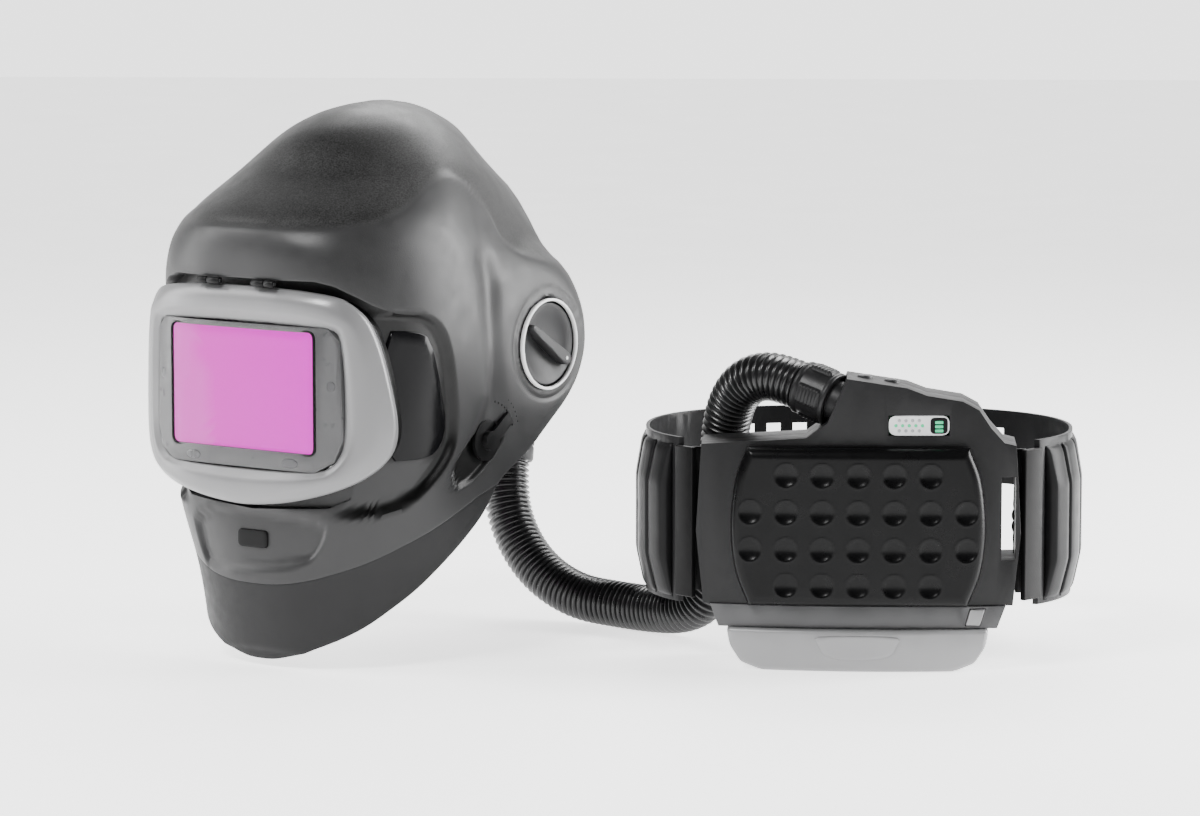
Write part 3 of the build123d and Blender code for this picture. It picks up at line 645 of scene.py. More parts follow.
def recess_shade_share(points):
    """1 where painted shade turns the side recesses and lever wells near black, 0 elsewhere and on the satin
    foot of a recess.
    """
    x, y, z = np.moveaxis(points, -1, 0)
    inside = ease(depth_inside(y, z, RECESS) + 3, 3) * (1 - ease(depth_inside(y, z, RECESS_FOOT), 1.5))
    inside = np.maximum(inside, ease(depth_inside(y, z, LEVER_RECESS) + 1.5, 2))
    return inside * ease(np.abs(x) - 70, 20)


def valley(y, z):
    """Soft hollow between the side panel and the knob's lobe."""
    reach = reach_to(y, z, zip(VALLEY, VALLEY[1:]))
    return VALLEY_DEPTH * np.exp(-(reach / VALLEY_WIDTH) ** 2)


def relief(points):
    """Outward displacement of the shell at its points, in millimetres."""
    x, y, z = np.moveaxis(points, -1, 0)
    side = ease(np.abs(x) - 70, 30)
    out = -DOME_DROP * dome_share(points)
    out -= RECESS_DEPTH * ease(depth_inside(y, z, RECESS), 5) * side
    out -= LEVER_DEPTH * ease(depth_inside(y, z, LEVER_RECESS), 3) * side
    out -= valley(y, z) * side
    out -= CHIN_DEPTH * ease(depth_inside(x, z, CHIN_RECESS), 4) * ease(-y - 120, 30)
    return out


def seat_relief(points):
    """Move the sides out to the raised seats of the knobs, and in again inside their bowls."""
    x, y, z = np.moveaxis(points.copy(), -1, 0)
    radius = np.hypot(y, z - PIVOT_Z)
    side = np.abs(x) > 60
    lobe = ease(LOBE_RADIUS - radius, LOBE_EDGE) * side
    reach = np.abs(x) + lobe * np.maximum(0, LOBE_FACE - np.abs(x))
    bowl = ease(BOWL_RADIUS - radius, BOWL_EDGE) * side
    reach = reach + bowl * (BOWL_FACE - reach)
    reach = reach - GROOVE_DEPTH * np.exp(-((radius - GROOVE_RADIUS) / GROOVE_WIDTH) ** 2) * side
    points = points.copy()
    points[..., 0] = np.sign(x) * reach
    return points


def normals_of(points):
    """Outward direction of the smooth body at grid points."""
    centre, half_x, half_y, power = section(points[..., 2])
    x, y = points[..., 0] / half_x, (points[..., 1] - centre) / half_y
    return np.stack([
        np.sign(x) * np.abs(x) ** (power - 1) / half_x,
        np.sign(y) * np.abs(y) ** (power - 1) / half_y,
        np.maximum(0, points[..., 2] - 300) / 75 / 90,
    ], -1)


def shaped(points):
    """Body points with every relief, the pocket for the flip-up front and the knob seats."""
    direction = normals_of(points)
    direction = direction / np.maximum(1e-9, np.linalg.norm(direction, axis=-1, keepdims=True))
    formed = points + direction * relief(points)[..., None]
    formed = seat_relief(formed)
    pocket = (formed[..., 2] > pocket_edge(points[..., 0], POCKET_FOOT))
    pocket &= formed[..., 2] < pocket_edge(points[..., 0], POCKET_TOP)
    depth = bow(formed[..., 0], POCKET_FRONT)
    formed[..., 1] = np.where(pocket, np.maximum(formed[..., 1], depth), formed[..., 1])
    return formed


def pocket_edge(x, heights):
    """Height of a pocket edge at a distance from the middle."""
    return np.interp(np.abs(x), POCKET_REACH, heights)


def pocket_row(share, heights):
    """Height of a pocket edge on each column, found by a few repeated looks."""
    z = np.full_like(share, 200.0)
    for _ in range(8):
        z = pocket_edge(body_point(share, z)[..., 0], heights)
    return z


def seam_height(share):
    """Height of the neck seam on each column, found by a few repeated looks."""
    z = np.full_like(share, 60.0)
    for _ in range(12):
        z = 0.5 * z + 0.5 * np.interp(body_point(share, z)[..., 1], NECK_SEAM[:, 0], NECK_SEAM[:, 1])
    return z


COLUMNS = 281
# Columns lie closer together where the knobs and recesses are.
EVEN = np.linspace(-1, 1, COLUMNS)
SHARES = EVEN + 0.35 * np.sin(2 * math.pi * EVEN) / (2 * math.pi)


def rows_between(low, high, count, last=False):
    """Even rows from one edge to another, with or without the last one."""
    steps = np.linspace(0, 1, count, endpoint=last)[:, None]
    return low + (high - low) * steps


def skin(name, points, slot, replaced, hole=None, capped=False):
    """Grid of helmet points as one sheet, with an optional hole and a cap on its last row."""
    rows, columns = points.shape[:2]
    faces = list(grid_faces(rows, columns))
    if hole is not None:
        faces = [face for face in faces if not hole.reshape(-1)[list(face)].all()]
    if capped:
        faces.append(tuple(range((rows - 1) * columns, rows * columns - 1)))
    return new_piece(name, on_helmet(points), faces, "root", slot, replaced)


def set_attribute(piece, name, values):
    """Write one number per vertex for a material to read."""
    attribute = piece.data.attributes.new(name, "FLOAT", "POINT")
    attribute.data.foreach_set("value", np.asarray(values, np.float32))


def helmet_coordinates(piece):
    """A piece's vertices in the helmet's own axes, in millimetres."""
    co = np.array([v.co for v in piece.data.vertices]) - HELMET_AT
    return np.stack([co @ SIDE, co @ REAR, co @ UP], -1) / MM


def thicken(piece, thickness):
    """Give a skin its wall thickness, inwards."""
    wall = piece.modifiers.new("wall", "SOLIDIFY")
    wall.thickness = thickness * MM
    co = helmet_coordinates(piece)
    middle = np.array((0, -55, 200))
    polygon = piece.data.polygons[len(piece.data.polygons) // 2]
    outward = co[polygon.vertices[0]] - middle
    normal = np.array(polygon.normal)
    outward = outward[0] * SIDE + outward[1] * REAR + outward[2] * UP
    wall.offset = -1 if normal @ outward > 0 else 1
    edge = piece.modifiers.new("edge", "BEVEL")
    edge.width = 0.7 * MM
    edge.segments = 2
    edge.angle_limit = math.radians(60)


# The shell's opening behind the flip-up front, and where the rows of its crown begin.
HOLE_HALF, HOLE_FOOT, HOLE_TOP, HOLE_REAR = 80, 138, 242, -120
CROWN_FOOT = 330


def build_shell():
    """Shell from the neck seam to the crown, with the marks that its paint reads: the speckled dome, and the
    painted shade of the side recesses and lever wells.
    """
    seam = seam_height(SHARES)[None]
    low = np.maximum(pocket_row(SHARES, POCKET_FOOT)[None] - 0.3, seam + 3)
    high = pocket_row(SHARES, POCKET_TOP)[None] - 0.3
    heights = np.vstack([
        rows_between(seam + 0.15, low, 16, True),
        rows_between(low + 0.6, high, 78, True),
        rows_between(high + 0.6, np.full_like(seam, CROWN_FOOT), 36),
        np.zeros_like(seam) + SMOOTH[SMOOTH[:, 0] >= CROWN_FOOT][::3, :1],
        np.full_like(seam, HELMET_TOP),
    ])
    base = body_point(np.broadcast_to(SHARES, heights.shape), heights)
    points = shaped(base)
    hole = (np.abs(points[..., 0]) < HOLE_HALF) & (base[..., 1] < HOLE_REAR)
    hole &= (points[..., 2] > HOLE_FOOT) & (points[..., 2] < HOLE_TOP)
    shell = skin("helmet_shell_look", points, "shell_black", ["helmet_shell"], hole, True)
    set_attribute(shell, "dome", dome_share(helmet_coordinates(shell)))
    # Mark for the painted shade of the side recesses and lever wells.
    set_attribute(shell, "recess", recess_shade_share(helmet_coordinates(shell)))
    thicken(shell, 2.8)


def build_neck_cover():
    """Neck cover from its lower edge, which rises towards the rear, to the seam."""
    seam = seam_height(SHARES)[None]
    low = 5 + 6 * np.abs(SHARES[None]) ** 3
    heights = np.vstack([rows_between(low, seam, 34), seam])
    points = shaped(body_point(np.broadcast_to(SHARES, heights.shape), heights))
    neck = skin("neck_cover_look", points, "neck_black", ["neck_cover"])
    thicken(neck, 2.6)


def build_side_windows():
    """Dark panes, one in each side recess."""
    pane = [
        (-152, 230), (-130, 229), (-117, 224), (-108, 190), (-103, 164), (-108, 150), (-118, 143),
        (-152, 143),
    ]
    for sign, side in SIDES:
        def place(y, z, depth, sign=sign):
            return on_helmet(np.stack([sign * (flank(y, z) + depth), y, z], -1))
        crowned_slab(f"side_window_{side}", pane, place, (-8.0, -4.6), 0.8, "root", "side_window",
                     ["side_windows"], passes=1)


def flank(y, z):
    """Half width of the smooth body at a place on its side."""
    centre, half_x, half_y, power = section(z)
    return half_x * oval_reach((y - centre) / half_y, power)


# ---------------------------------------------------------------- flip-up front
BEZEL_HALF = [
    (68, 258.2), (90, 245), (98, 226), (104, 193), (107, 165), (104, 148), (92, 134), (72, 124), (42, 116),
    (10, 112),
]
OPENING_HALF = [(72, 235), (80, 226), (82, 160), (76, 144), (62, 136)]
BEZEL_CENTRE = np.array((0.0, 186.0))


def build_bezel():
    """Broad rounded surround with a chamfer outside and a step inside."""
    outer = by_angle(rounded(mirrored(BEZEL_HALF), 3), BEZEL_CENTRE, 320)
    inner = by_angle(rounded(mirrored(OPENING_HALF), 2), BEZEL_CENTRE, 320)
    profile = [
        (0.03, 10.0), (0.0, 9.0), (0.0, 5.4), (0.02, 4.2), (0.22, 1.0), (0.3, 0.3), (0.4, 0.0), (0.62, 0.0),
        (0.7, 0.3), (0.78, 1.3), (0.93, 4.0), (1.0, 4.6), (1.0, 9.0), (0.98, 10.0),
    ]
    place = front_place(BEZEL_FRONT)
    ring_frame("flip_frame_look", outer, inner, profile, place, "flip_front", "bezel_grey", ["flip_frame"])


def build_visor_frame():
    """Plain black frame, hidden behind the flip-up surround, and the clear visor in it."""
    outer = by_angle(rounded(mirrored(BEZEL_HALF), 3), BEZEL_CENTRE, 240)
    outer = BEZEL_CENTRE + (outer - BEZEL_CENTRE) * 0.95
    inner = by_angle(rounded_box(-81, 81, 137, 243, 16), BEZEL_CENTRE, 240)
    profile = [(0, 5.9), (0, 0.8), (0.05, 0.0), (0.95, 0.0), (1, 0.8), (1, 5.9)]
    place = front_place(VISOR_FRONT)
    ring_frame("visor_frame_look", outer, inner, profile, place, "root", "frame_black", ["visor_frame"])
    clear = BEZEL_CENTRE + (outer - BEZEL_CENTRE) * 0.94
    crowned_slab("grinding_visor_look", clear, place, (4.0, 2.4), 0.5, "root", "clear_visor",
                 ["grinding_visor"], passes=0, count=240)


def build_chin_clip():
    """Small latch button set in the chin recess."""
    def place(x, z, depth):
        centre, half_x, half_y, power = section(z)
        y = centre - half_y * oval_reach(x / half_x, power)
        return on_helmet(np.stack([x, y + CHIN_DEPTH + depth, z], -1))
    outline = rounded_box(-15, 11, 81, 93, 3)
    crowned_slab("chin_clip_look", outline, place, (2.5, -1.6), 1.0, "root", "frame_black", ["chin_clip"],
                 count=80)


def front_place(front):
    """Bends a plate to the bowed front of the helmet."""
    def place(x, z, depth):
        return on_helmet(np.stack([x, bow(x, front) + depth, z], -1))
    return place


def flat_place(y):
    """Sets a plate upright across the helmet, without a bow."""
    def place(x, z, depth):
        return on_helmet(np.stack([x, np.full_like(x, y + depth), z], -1))
    return place


def build_window():
    """Filter glass with the marks for its painted glow and its painted highlight wedge, and the dark gasket
    round it.
    """
    half = 61.0
    outline = rounded_box(-half, half, 149.4, 230, 3.5)
    place = flat_place(WINDOW_FRONT)
    window = crowned_slab("filter_window_look", outline, place, (1.5, 0.0), 0.5, "flip_front",
                          "filter_window", ["filter_window"], passes=0, count=240)
    co = helmet_coordinates(window)
    # Painted glow: the emission colour shifts from one side of the glass to the other.
    set_attribute(window, "across", (co[:, 0] + half) / (2 * half))
    # Painted highlight: a soft lighter wedge on one side of the glass.
    set_attribute(window, "painted_highlight_wedge", 0.55 * ease(-34 - (co[:, 2] - 190) * 0.16 - co[:, 0], 3))
    centre = np.array((0, 189.7))
    outer = by_angle(rounded_box(-half - 1.4, half + 1.4, 148, 231.4, 4.9), centre, 240)
    inner = by_angle(outline, centre, 240)
    profile = [(0, 1.6), (0, -1.2), (0.5, -1.8), (1, -1.2), (1, 1.6)]
    ring_frame("window_gasket", outer, inner, profile, place, "flip_front", "frame_black")


def build_hinge():
    """Knuckles on the flip-up front and ears under the brow, on the hinge pins."""
    pin = np.array(JOINTS["flip_hinge"]["pos_m"]) - HELMET_AT
    y, z = pin @ REAR / MM, pin @ UP / MM
    parts = (("knuckle", 14, 10.6, "flip_front", "bezel_grey"), ("ear", 25, 8.0, "root", "shell_black"))
    for sign, side in SIDES:
        for part, x, length, body, slot in parts:
            start = on_helmet([(sign * x, y, z)])[0]
            profile = [(0, 2.0), (0.4, 2.4), (length - 0.4, 2.4), (length, 2.0)]
            lathe(f"hinge_{part}_{side}", start, SIDE * sign, profile, body, slot, around=24,
                  material=LOOKS["frame_black"])


def build_sensors():
    """Lenses: wide ovals below the window and small round ones beside it."""
    lenses = [(-73, 195, 3.0, 3.6), (73, 195, 3.0, 3.6), (-42, 142.5, 7.0, 3.4), (42, 142.5, 7.0, 3.4)]
    turns = np.linspace(0, 2 * math.pi, 12, endpoint=False)
    for number, (x, z, wide, tall) in enumerate(lenses, 1):
        outline = [(x + wide * math.cos(turn), z + tall * math.sin(turn)) for turn in turns]
        crowned_slab(f"light_sensor_{number}", outline, front_place(SENSOR_FRONT), (1.2, 0.0), 0.5,
                     "flip_front", "sensor_dark", ["light_sensors"], count=32)


# ---------------------------------------------------------------- knobs
GRIP_TILT = math.radians(-33)
GRIP_HALF = [(-25.5, 1.6), (-20, 2.6), (6, 3.6), (18, 4.4), (23, 4.0), (25.2, 2.2)]


def build_knob(side, sign):
    """Dished turning knob with a tapered grip bar and a white pointer dot."""
    body = f"pivot_knob_{side}"
    start = on_helmet([(sign * 106.4, 0, PIVOT_Z)])[0]
    dish = [
        (0, 0.5), (0, 26.5), (6.0, 28.2), (6.8, 28.0), (6.9, 27.2), (4.6, 22), (2.9, 15), (2.0, 8),
        (1.8, 0.5), (0, 0.5),
    ]
    lathe(f"{body}_dish", start, SIDE * sign, dish, body, "knob_black", [body], 96)
    outline = GRIP_HALF + [(along, -half) for along, half in reversed(GRIP_HALF)]

    def place(along, across, depth):
        y = along * math.cos(GRIP_TILT) - across * math.sin(GRIP_TILT)
        z = along * math.sin(GRIP_TILT) + across * math.cos(GRIP_TILT)
        return on_helmet(np.stack([np.full_like(y, sign * (106.9 + depth)), y, PIVOT_Z + z], -1))
    crowned_slab(f"{body}_grip", outline, place, (0.0, 10.2), 1.2, body, "knob_black", passes=2)
    spot = place(np.array([20.0]), np.array([0.0]), 10.1)[0]
    lathe(f"knob_mark_{side}", spot, SIDE * sign, [(0, 1.3), (0.3, 1.2), (0.4, 0.9)], body, "ring_white",
          around=24, material=MARK_WHITE)


def build_lever_ticks(side, sign):
    """Two arcs of small raised dots that show the lever's travel."""
    for arc, radius in enumerate((27, 33), 1):
        for number in range(9):
            turn = math.radians(18 + number * 6.5)
            y, z = LEVER_AT[0] + radius * math.cos(turn), LEVER_AT[1] + radius * math.sin(turn)
            x = flank(y, z) - valley(np.array(y), np.array(z))
            start = on_helmet([(sign * (x - 0.3), y, z)])[0]
            lathe(f"lever_dot_{side}_{arc}_{number + 1}", start, SIDE * sign,
                  [(0, 1.0), (0.8, 0.9), (1.0, 0.5)], "root", "frame_black", around=12)


def build_knobs():
    """White rings with the turning knobs in them, and the vent levers with their dots."""
    ring = [(0, 29.4), (2.0, 29.4), (2.7, 29.9), (2.7, 30.7), (2.2, 31.3), (0, 31.3), (0, 29.4)]
    for sign, side in SIDES:
        start = on_helmet([(sign * 113.2, 0, PIVOT_Z)])[0]
        lathe(f"knob_ring_{side}", start, SIDE * sign, ring, "root", "ring_white", ["knob_rings"], 96)
        build_knob(side, sign)
        build_lever_ticks(side, sign)
        bevelled(f"vent_lever_{side}", "knob_black", 1.0, material=LOOKS["frame_black"])


# ---------------------------------------------------------------- breathing tube
# The route of the tube's centre line, in metres.
TUBE_ROUTE = [
    (-0.038, 0.012, 0.187), (-0.051, 0.019, 0.1915), (-0.064, 0.027, 0.1925), (-0.076, 0.036, 0.1875),
    (-0.085, 0.045, 0.1755), (-0.090, 0.053, 0.158), (-0.0925, 0.059, 0.134), (-0.092, 0.062, 0.106),
    (-0.092, 0.065, 0.078), (-0.095, 0.070, 0.052), (-0.104, 0.080, 0.031), (-0.120, 0.096, 0.0195),
    (-0.143, 0.117, 0.0166), (-0.170, 0.136, 0.017), (-0.199, 0.154, 0.019), (-0.226, 0.172, 0.033),
    (-0.245, 0.189, 0.057), (-0.254, 0.202, 0.088), (-0.252, 0.211, 0.121),
]
TUBE_OUTER, TUBE_GROOVE, RIDGE_PITCH, RIDGE_STEPS = 16.5, 13.6, 4.35, 8


def route_points():
    """Even points along the route's own smooth curve, and its length in metres."""
    curve = bpy.data.curves.new("tube_route", "CURVE")
    curve.dimensions = "3D"
    spline = curve.splines.new("NURBS")
    spline.points.add(len(TUBE_ROUTE) - 1)
    for point, place in zip(spline.points, TUBE_ROUTE):
        point.co = (*place, 1)
    spline.order_u = 3
    spline.use_endpoint_u = True
    curve.resolution_u = 48
    holder = bpy.data.objects.new("tube_route", curve)
    line = bpy.data.meshes.new_from_object(holder)
    points = np.array([v.co for v in line.vertices])
    bpy.data.objects.remove(holder)
    run = np.r_[0, np.cumsum(np.linalg.norm(np.diff(points, axis=0), axis=1))]
    return points, run


def build_tube():
    """Corrugated hose: round ridges at an even pitch swept along the route."""
    points, run = route_points()
    ridges = round(run[-1] / (RIDGE_PITCH * MM))
    steps, around = ridges * RIDGE_STEPS, 48
    places = np.linspace(0, run[-1], steps + 1)
    centre = np.stack([np.interp(places, run, points[:, axis]) for axis in range(3)], -1)
    forward = np.gradient(centre, axis=0)
    forward /= np.linalg.norm(forward, axis=1, keepdims=True)
    first = frame_about(forward[0])[1]
    turns = np.arange(around) * 2 * math.pi / around
    outside, inside = [], []
    for index in range(steps + 1):
        first = first - forward[index] * (first @ forward[index])
        first /= np.linalg.norm(first)
        second = np.cross(forward[index], first)
        spoke = np.outer(np.cos(turns), first) + np.outer(np.sin(turns), second)
        wave = 0.5 - 0.5 * math.cos(2 * math.pi * index / RIDGE_STEPS)
        radius = TUBE_GROOVE + (TUBE_OUTER - TUBE_GROOVE) * wave ** 0.7
        outside.append(centre[index] + spoke * radius * MM)
        if index % RIDGE_STEPS == 0:
            inside.append(centre[index] + spoke * (TUBE_GROOVE - 1.2) * MM)
    tube = rings_piece("breathing_tube_look", outside + inside[::-1], "root", "tube_rubber",
                       ["breathing_tube"], closed=True)
    cuff = build_cuff(centre[-1], forward[-1])
    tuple(TUBE_ROUTE[0])


def build_cuff(end, forward):
    """Rubber cuff with three rolls over the tube's end."""
    profile = [
        (-12, 16.8), (-12, 18.2), (-10.5, 19.1), (-2, 19.1), (-1, 18.3), (0, 19.1), (5, 19.1), (6, 18.3),
        (7, 19.1), (15, 19.1), (17, 18.0), (17, 14.6), (1, 14.6), (0, 16.8), (-12, 16.8),
    ]
    return lathe("tube_cuff_look", end, forward, profile, "root", "cuff_black", ["tube_cuff"], 56)


# ---------------------------------------------------------------- blower
# Half width of the filter cover by height.
COVER_OUTLINE = [(73, 43.9), (82, 68), (85, 97), (82, 128), (74, 150.6)]
COVER_Y, COVER_SAG, COVER_BACK = -35.0, 7.0, -21.4
# Width of the cover's rounded edge, and how far it falls back there.
COVER_EDGE, COVER_DROP = 7.0, 7.5
DIMPLE_PITCH, DIMPLE_R, DIMPLE_DEPTH = 24.0, 7.3, 2.3
DIMPLE_ROWS = [(132.5, 5), (107.6, 7), (82.6, 7), (58.5, 5)]
BLOWER_HALF = 112.0
PANEL_Y, PANEL_SAG = -21, 9


def dimple_centres():
    """Places of the dimples, row by row, in X and Z."""
    centres = []
    for z, count in DIMPLE_ROWS:
        for index in range(count):
            centres.append((DIMPLE_PITCH * (index - (count - 1) / 2), z))
    return centres


def cover_front():
    """Grid of the cover's front: bowed, with rounded sides and pressed dimples."""
    table = smooth_table(np.array(COVER_OUTLINE), 12)
    low, high = table[0, 1], table[-1, 1]
    heights = np.r_[low, np.linspace(low + 0.3, high - 0.3, 104), high]
    shares = np.sin(np.linspace(-1, 1, 155) * math.pi / 2 * 0.86) / math.sin(math.pi / 2 * 0.86)
    shares = 0.5 * shares + 0.5 * np.linspace(-1, 1, 155)
    z, share = np.meshgrid(heights, shares, indexing="ij")
    half = np.interp(z, table[:, 1], table[:, 0])
    x = share * half
    y = COVER_Y + COVER_SAG * (x / BLOWER_HALF) ** 2
    edge = np.minimum(half - np.abs(x), np.minimum(z - low, high - z))
    soft = np.clip(1 - edge / COVER_EDGE, 0, 1)
    y = y + COVER_DROP * (1 - np.sqrt(np.maximum(0, 1 - soft ** 2)))
    for dx, dz in dimple_centres():
        radius = np.hypot(x - dx, z - dz) / DIMPLE_R
        y = y + DIMPLE_DEPTH * np.clip(1 - radius ** 2, 0, 1) ** 0.8 * (radius < 1)
        y = y - 0.25 * np.exp(-((radius - 1.06) / 0.07) ** 2)
    return np.stack([x, y, z], -1)


def build_cover():
    """Filter cover: its front, a wall all round and a flat back."""
    points = cover_front()
    rows, columns = points.shape[:2]
    border = [(0, c) for c in range(columns)] + [(r, columns - 1) for r in range(1, rows)]
    border += [(rows - 1, c) for c in range(columns - 2, -1, -1)] + [(r, 0) for r in range(rows - 2, 0, -1)]
    index = [r * columns + c for r, c in border]
    rim = np.array([points[r, c] for r, c in border])
    back = rim.copy()
    back[:, 1] = COVER_BACK
    inner = back * (0.96, 1, 0.96) + (0, 0, 97 * 0.04)
    everything = np.vstack([points.reshape(-1, 3), back, inner])
    faces = grid_faces(rows, columns)
    count, first = len(border), rows * columns
    for i in range(count):
        j = (i + 1) % count
        faces.append((index[i], index[j], first + j, first + i))
        faces.append((first + i, first + j, first + count + j, first + count + i))
    faces.append(tuple(first + count + i for i in range(count)))
    new_piece("filter_cover_look", on_blower(everything), faces, "filter_cover", "cover_black",
              ["filter_cover"])


def blower_place(front, sag):
    """Bends a plate to the blower's curved front."""
    def place(x, z, depth):
        return on_blower(np.stack([x, front + sag * (x / BLOWER_HALF) ** 2 + depth, z], -1))
    return place


def build_panel():
    """Indicator: white field with rows of lights and a dark end with a battery sign."""
    place = blower_place(PANEL_Y, PANEL_SAG)
    outline = rounded_box(19.9, 60.1, 158.4, 171.6, 4.5)
    crowned_slab("indicator_panel_look", outline, place, (1.8, -0.6), 0.5, "root", "panel_white",
                 ["indicator_panel"], passes=0)
    dark = rounded_box(47.5, 59.0, 159.6, 170.4, 2.6)
    crowned_slab("indicator_dark", dark, place, (-0.4, -1.0), 0.2, "root", "frame_black", passes=0)
    for row, (z, count) in enumerate([(168.4, 4), (165.0, 5), (161.6, 4)]):
        for index in range(count):
            x = np.array([33.4 + 4.4 * (index - (count - 1) / 2)])
            start = place(x, np.array([z]), -0.5)[0]
            lathe(f"light_{row + 1}_{index + 1}", start, (0, -1, 0),
                  [(0, 1.15), (0.3, 1.1), (0.4, 0.6)], "root", "panel_white", around=20,
                  material=LED_GREEN if row == 1 else LED_GREY)
    for index, z in enumerate((161.6, 164.4, 167.2)):
        bar = rounded_box(50.6, 56.0, z - 1.0, z + 1.0, 0.4)
        crowned_slab(f"battery_sign_{index + 1}", bar, place, (-0.9, -1.25), 0.15, "root", "panel_white",
                     passes=0, count=48, material=LED_GREEN)


def build_collar():
    """Bayonet collar with raised grip pads, and its flange against the housing."""
    joint = JOINTS["collar_turn"]
    along = np.array(joint["axis"])
    base = np.array(joint["pos_m"])
    low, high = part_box("hose_collar")
    middle = (np.array(low) + np.array(high)) / 2
    start = base + along * ((middle - base) @ along) / (along @ along)
    along = along / np.linalg.norm(along)
    if along[0] > 0:
        along = -along
    start = start - along * 13 * MM

    def pads(distance, radius, turns):
        lobes = ease(np.cos(turns * 4) - 0.15, 0.25)
        grip = 2.0 * ease(distance - 5, 1.5) * ease(21 - distance, 1.5)
        ribs = 0.35 * math.cos(distance * 2 * math.pi / 2.6)
        return radius + (lobes * (grip + ribs * (grip > 1.5)) if radius > 16 else 0)

    steps = [(d, 17.0) for d in np.linspace(4, 22, 29)]
    profile = [(0, 14.3), (0, 17.6), (0.8, 18.3), (3.0, 18.3), (3.6, 17.2)] + steps
    profile += [(22.6, 17.4), (23.2, 18.2), (25.2, 18.2), (26, 17.4), (26, 14.3), (0, 14.3)]
    lathe("hose_collar_look", start, along, profile, "hose_collar", "cuff_black", ["hose_collar"], 96, pads)


# The lower band draws in from the housing's width to the battery's.
BAND_HEIGHTS, BAND_SHARES = (27, 45), (0.9, 0.965)


def narrowed(piece, heights, shares):
    """Draw a blower piece in towards its middle, by height in millimetres."""
    for vertex in piece.data.vertices:
        vertex.co.x *= np.interp(vertex.co.z / MM, heights, shares)


def build_battery():
    """Battery with soft edges, a raised tapered grip field on its front, and the latch."""
    case = bevelled("battery_case", "battery_grey", 3.0, segments=5, angle=20)
    narrowed(case, (0, 29), (0.91, 0.91))
    field = [(-30, 24.5), (30, 24.5), (27, 20), (22, 8.5), (-22, 8.5), (-27, 20)]
    place = blower_place(-30, 13)
    crowned_slab("battery_grip", field, place, (1.0, -0.9), 0.8, "battery", "battery_grey", passes=2)
    band = bevelled("lower_band", "band_dark", 1.2)
    narrowed(band, BAND_HEIGHTS, BAND_SHARES)
    latch = bevelled("battery_latch", "battery_grey", 0.8)
    narrowed(latch, BAND_HEIGHTS, BAND_SHARES)


def build_housing():
    """Soft-edged housing halves and the finish of the buttons."""
    for node in ("front_housing", "rear_housing"):
        bevelled(node, "housing_black", 1.6, segments=4)
    for node in ("power_button", "airflow_button"):
        dress(frame["nodes"][node], "button_grey")


# ---------------------------------------------------------------- belt
BELT_HALF_X, BELT_HALF_Y, BELT_Y, BELT_POWER = 146.5, 114.0, 86.0, 2.3
PAD_EDGES = [(18, 33), (37, 59), (63, 88), (92, 118), (122, 148)]


def belt_x(y, outset):
    """Half width of the belt's oval, moved outwards, at a place along Y."""
    return (BELT_HALF_X + outset) * oval_reach((y - BELT_Y) / (BELT_HALF_Y + outset), BELT_POWER)


def build_pads():
    """Rubber ribs on the belt's sides: each bulges at mid height and breaks into three facets."""
    for sign, side in SIDES:
        for number, (front, back) in enumerate(PAD_EDGES, 1):
            def place(y, z, depth, sign=sign):
                belly = np.interp(z, [42, 68, 71, 118, 121, 147], [-5.6, -0.15, 0, 0, -0.15, -4.6])
                outset = depth + belly * ease(depth - 2, 3)
                return on_blower(np.stack([sign * belt_x(y, outset), y, z], -1))
            build_rib(f"belt_rib_{side}_{number}", front, back, place)


def build_rib(name, front, back, place):
    """A tall narrow slab with a fine grid, so that its facets and rounded sides show."""
    lip = 0.9 / (back - front)
    shares = np.array([0, 0, lip * 0.3, lip, 0.3, 0.5, 0.7, 1 - lip, 1 - lip * 0.3, 1, 1])
    depth = np.array([0.3, 5.9, 6.5, 6.8, 6.9, 6.9, 6.9, 6.8, 6.5, 5.9, 0.3])
    heights = np.r_[42, 43, 45, np.linspace(48, 141, 32), 144, 146, 147]
    lift = np.interp(heights, [42, 43, 45, 48, 141, 144, 146, 147], [-2.5, -1, -0.3, 0, 0, -0.3, -1, -2.5])
    rings = []
    for z, drop in zip(heights, lift):
        y = front + (back - front) * shares
        rings.append(place(y, np.full_like(y, z), np.maximum(0.3, depth + drop * (depth > 1))))
    rings_piece(name, rings, "root", "pad_black", ["belt_pads"])


def build_belt():
    """Belt straps, brackets and buckle, the gussets beside the housing, and the ribs."""
    for node in ("belt_left", "belt_right"):
        bevelled(node, "belt_black", 0.8)
    bevelled("belt_brackets", "belt_black", 0.8, material=LOOKS["frame_black"])
    for sign, side in SIDES:
        def place(x, z, depth, sign=sign):
            return on_blower(np.stack([sign * x, np.full_like(x, 18 + depth), z], -1))
        outline = rounded_box(104.5, 114, 47, 145, 2)
        crowned_slab(f"belt_gusset_{side}", outline, place, (2.0, 0.0), 0.5, "root", "belt_black", passes=0,
                     material=LOOKS["frame_black"])
    bevelled("buckle_socket", "cuff_black", 1.2)
    bevelled("buckle_tongue", "cuff_black", 1.2)
    build_pads()


# ---------------------------------------------------------------- soft pieces inside the helmet
SEAL_Y, SEAL_Z = -123.2, 190


def seal_border(turns):
    """Where rays in the seal's plane, from its middle, reach the inside of the shell."""
    outer = []
    for turn in turns:
        reach = 4.0
        while reach < 200:
            x, z = (reach + 1) * math.sin(turn), SEAL_Z + (reach + 1) * math.cos(turn)
            if z < 66 or z > 326:
                break
            centre, half_x, half_y, power = [float(value) for value in section(z)]
            if (abs(x) / (half_x - 6.5)) ** power + (abs(SEAL_Y - centre) / (half_y - 6.5)) ** power > 1:
                break
            reach += 1
        outer.append((reach * math.sin(turn), SEAL_Z + reach * math.cos(turn)))
    return np.array(outer)


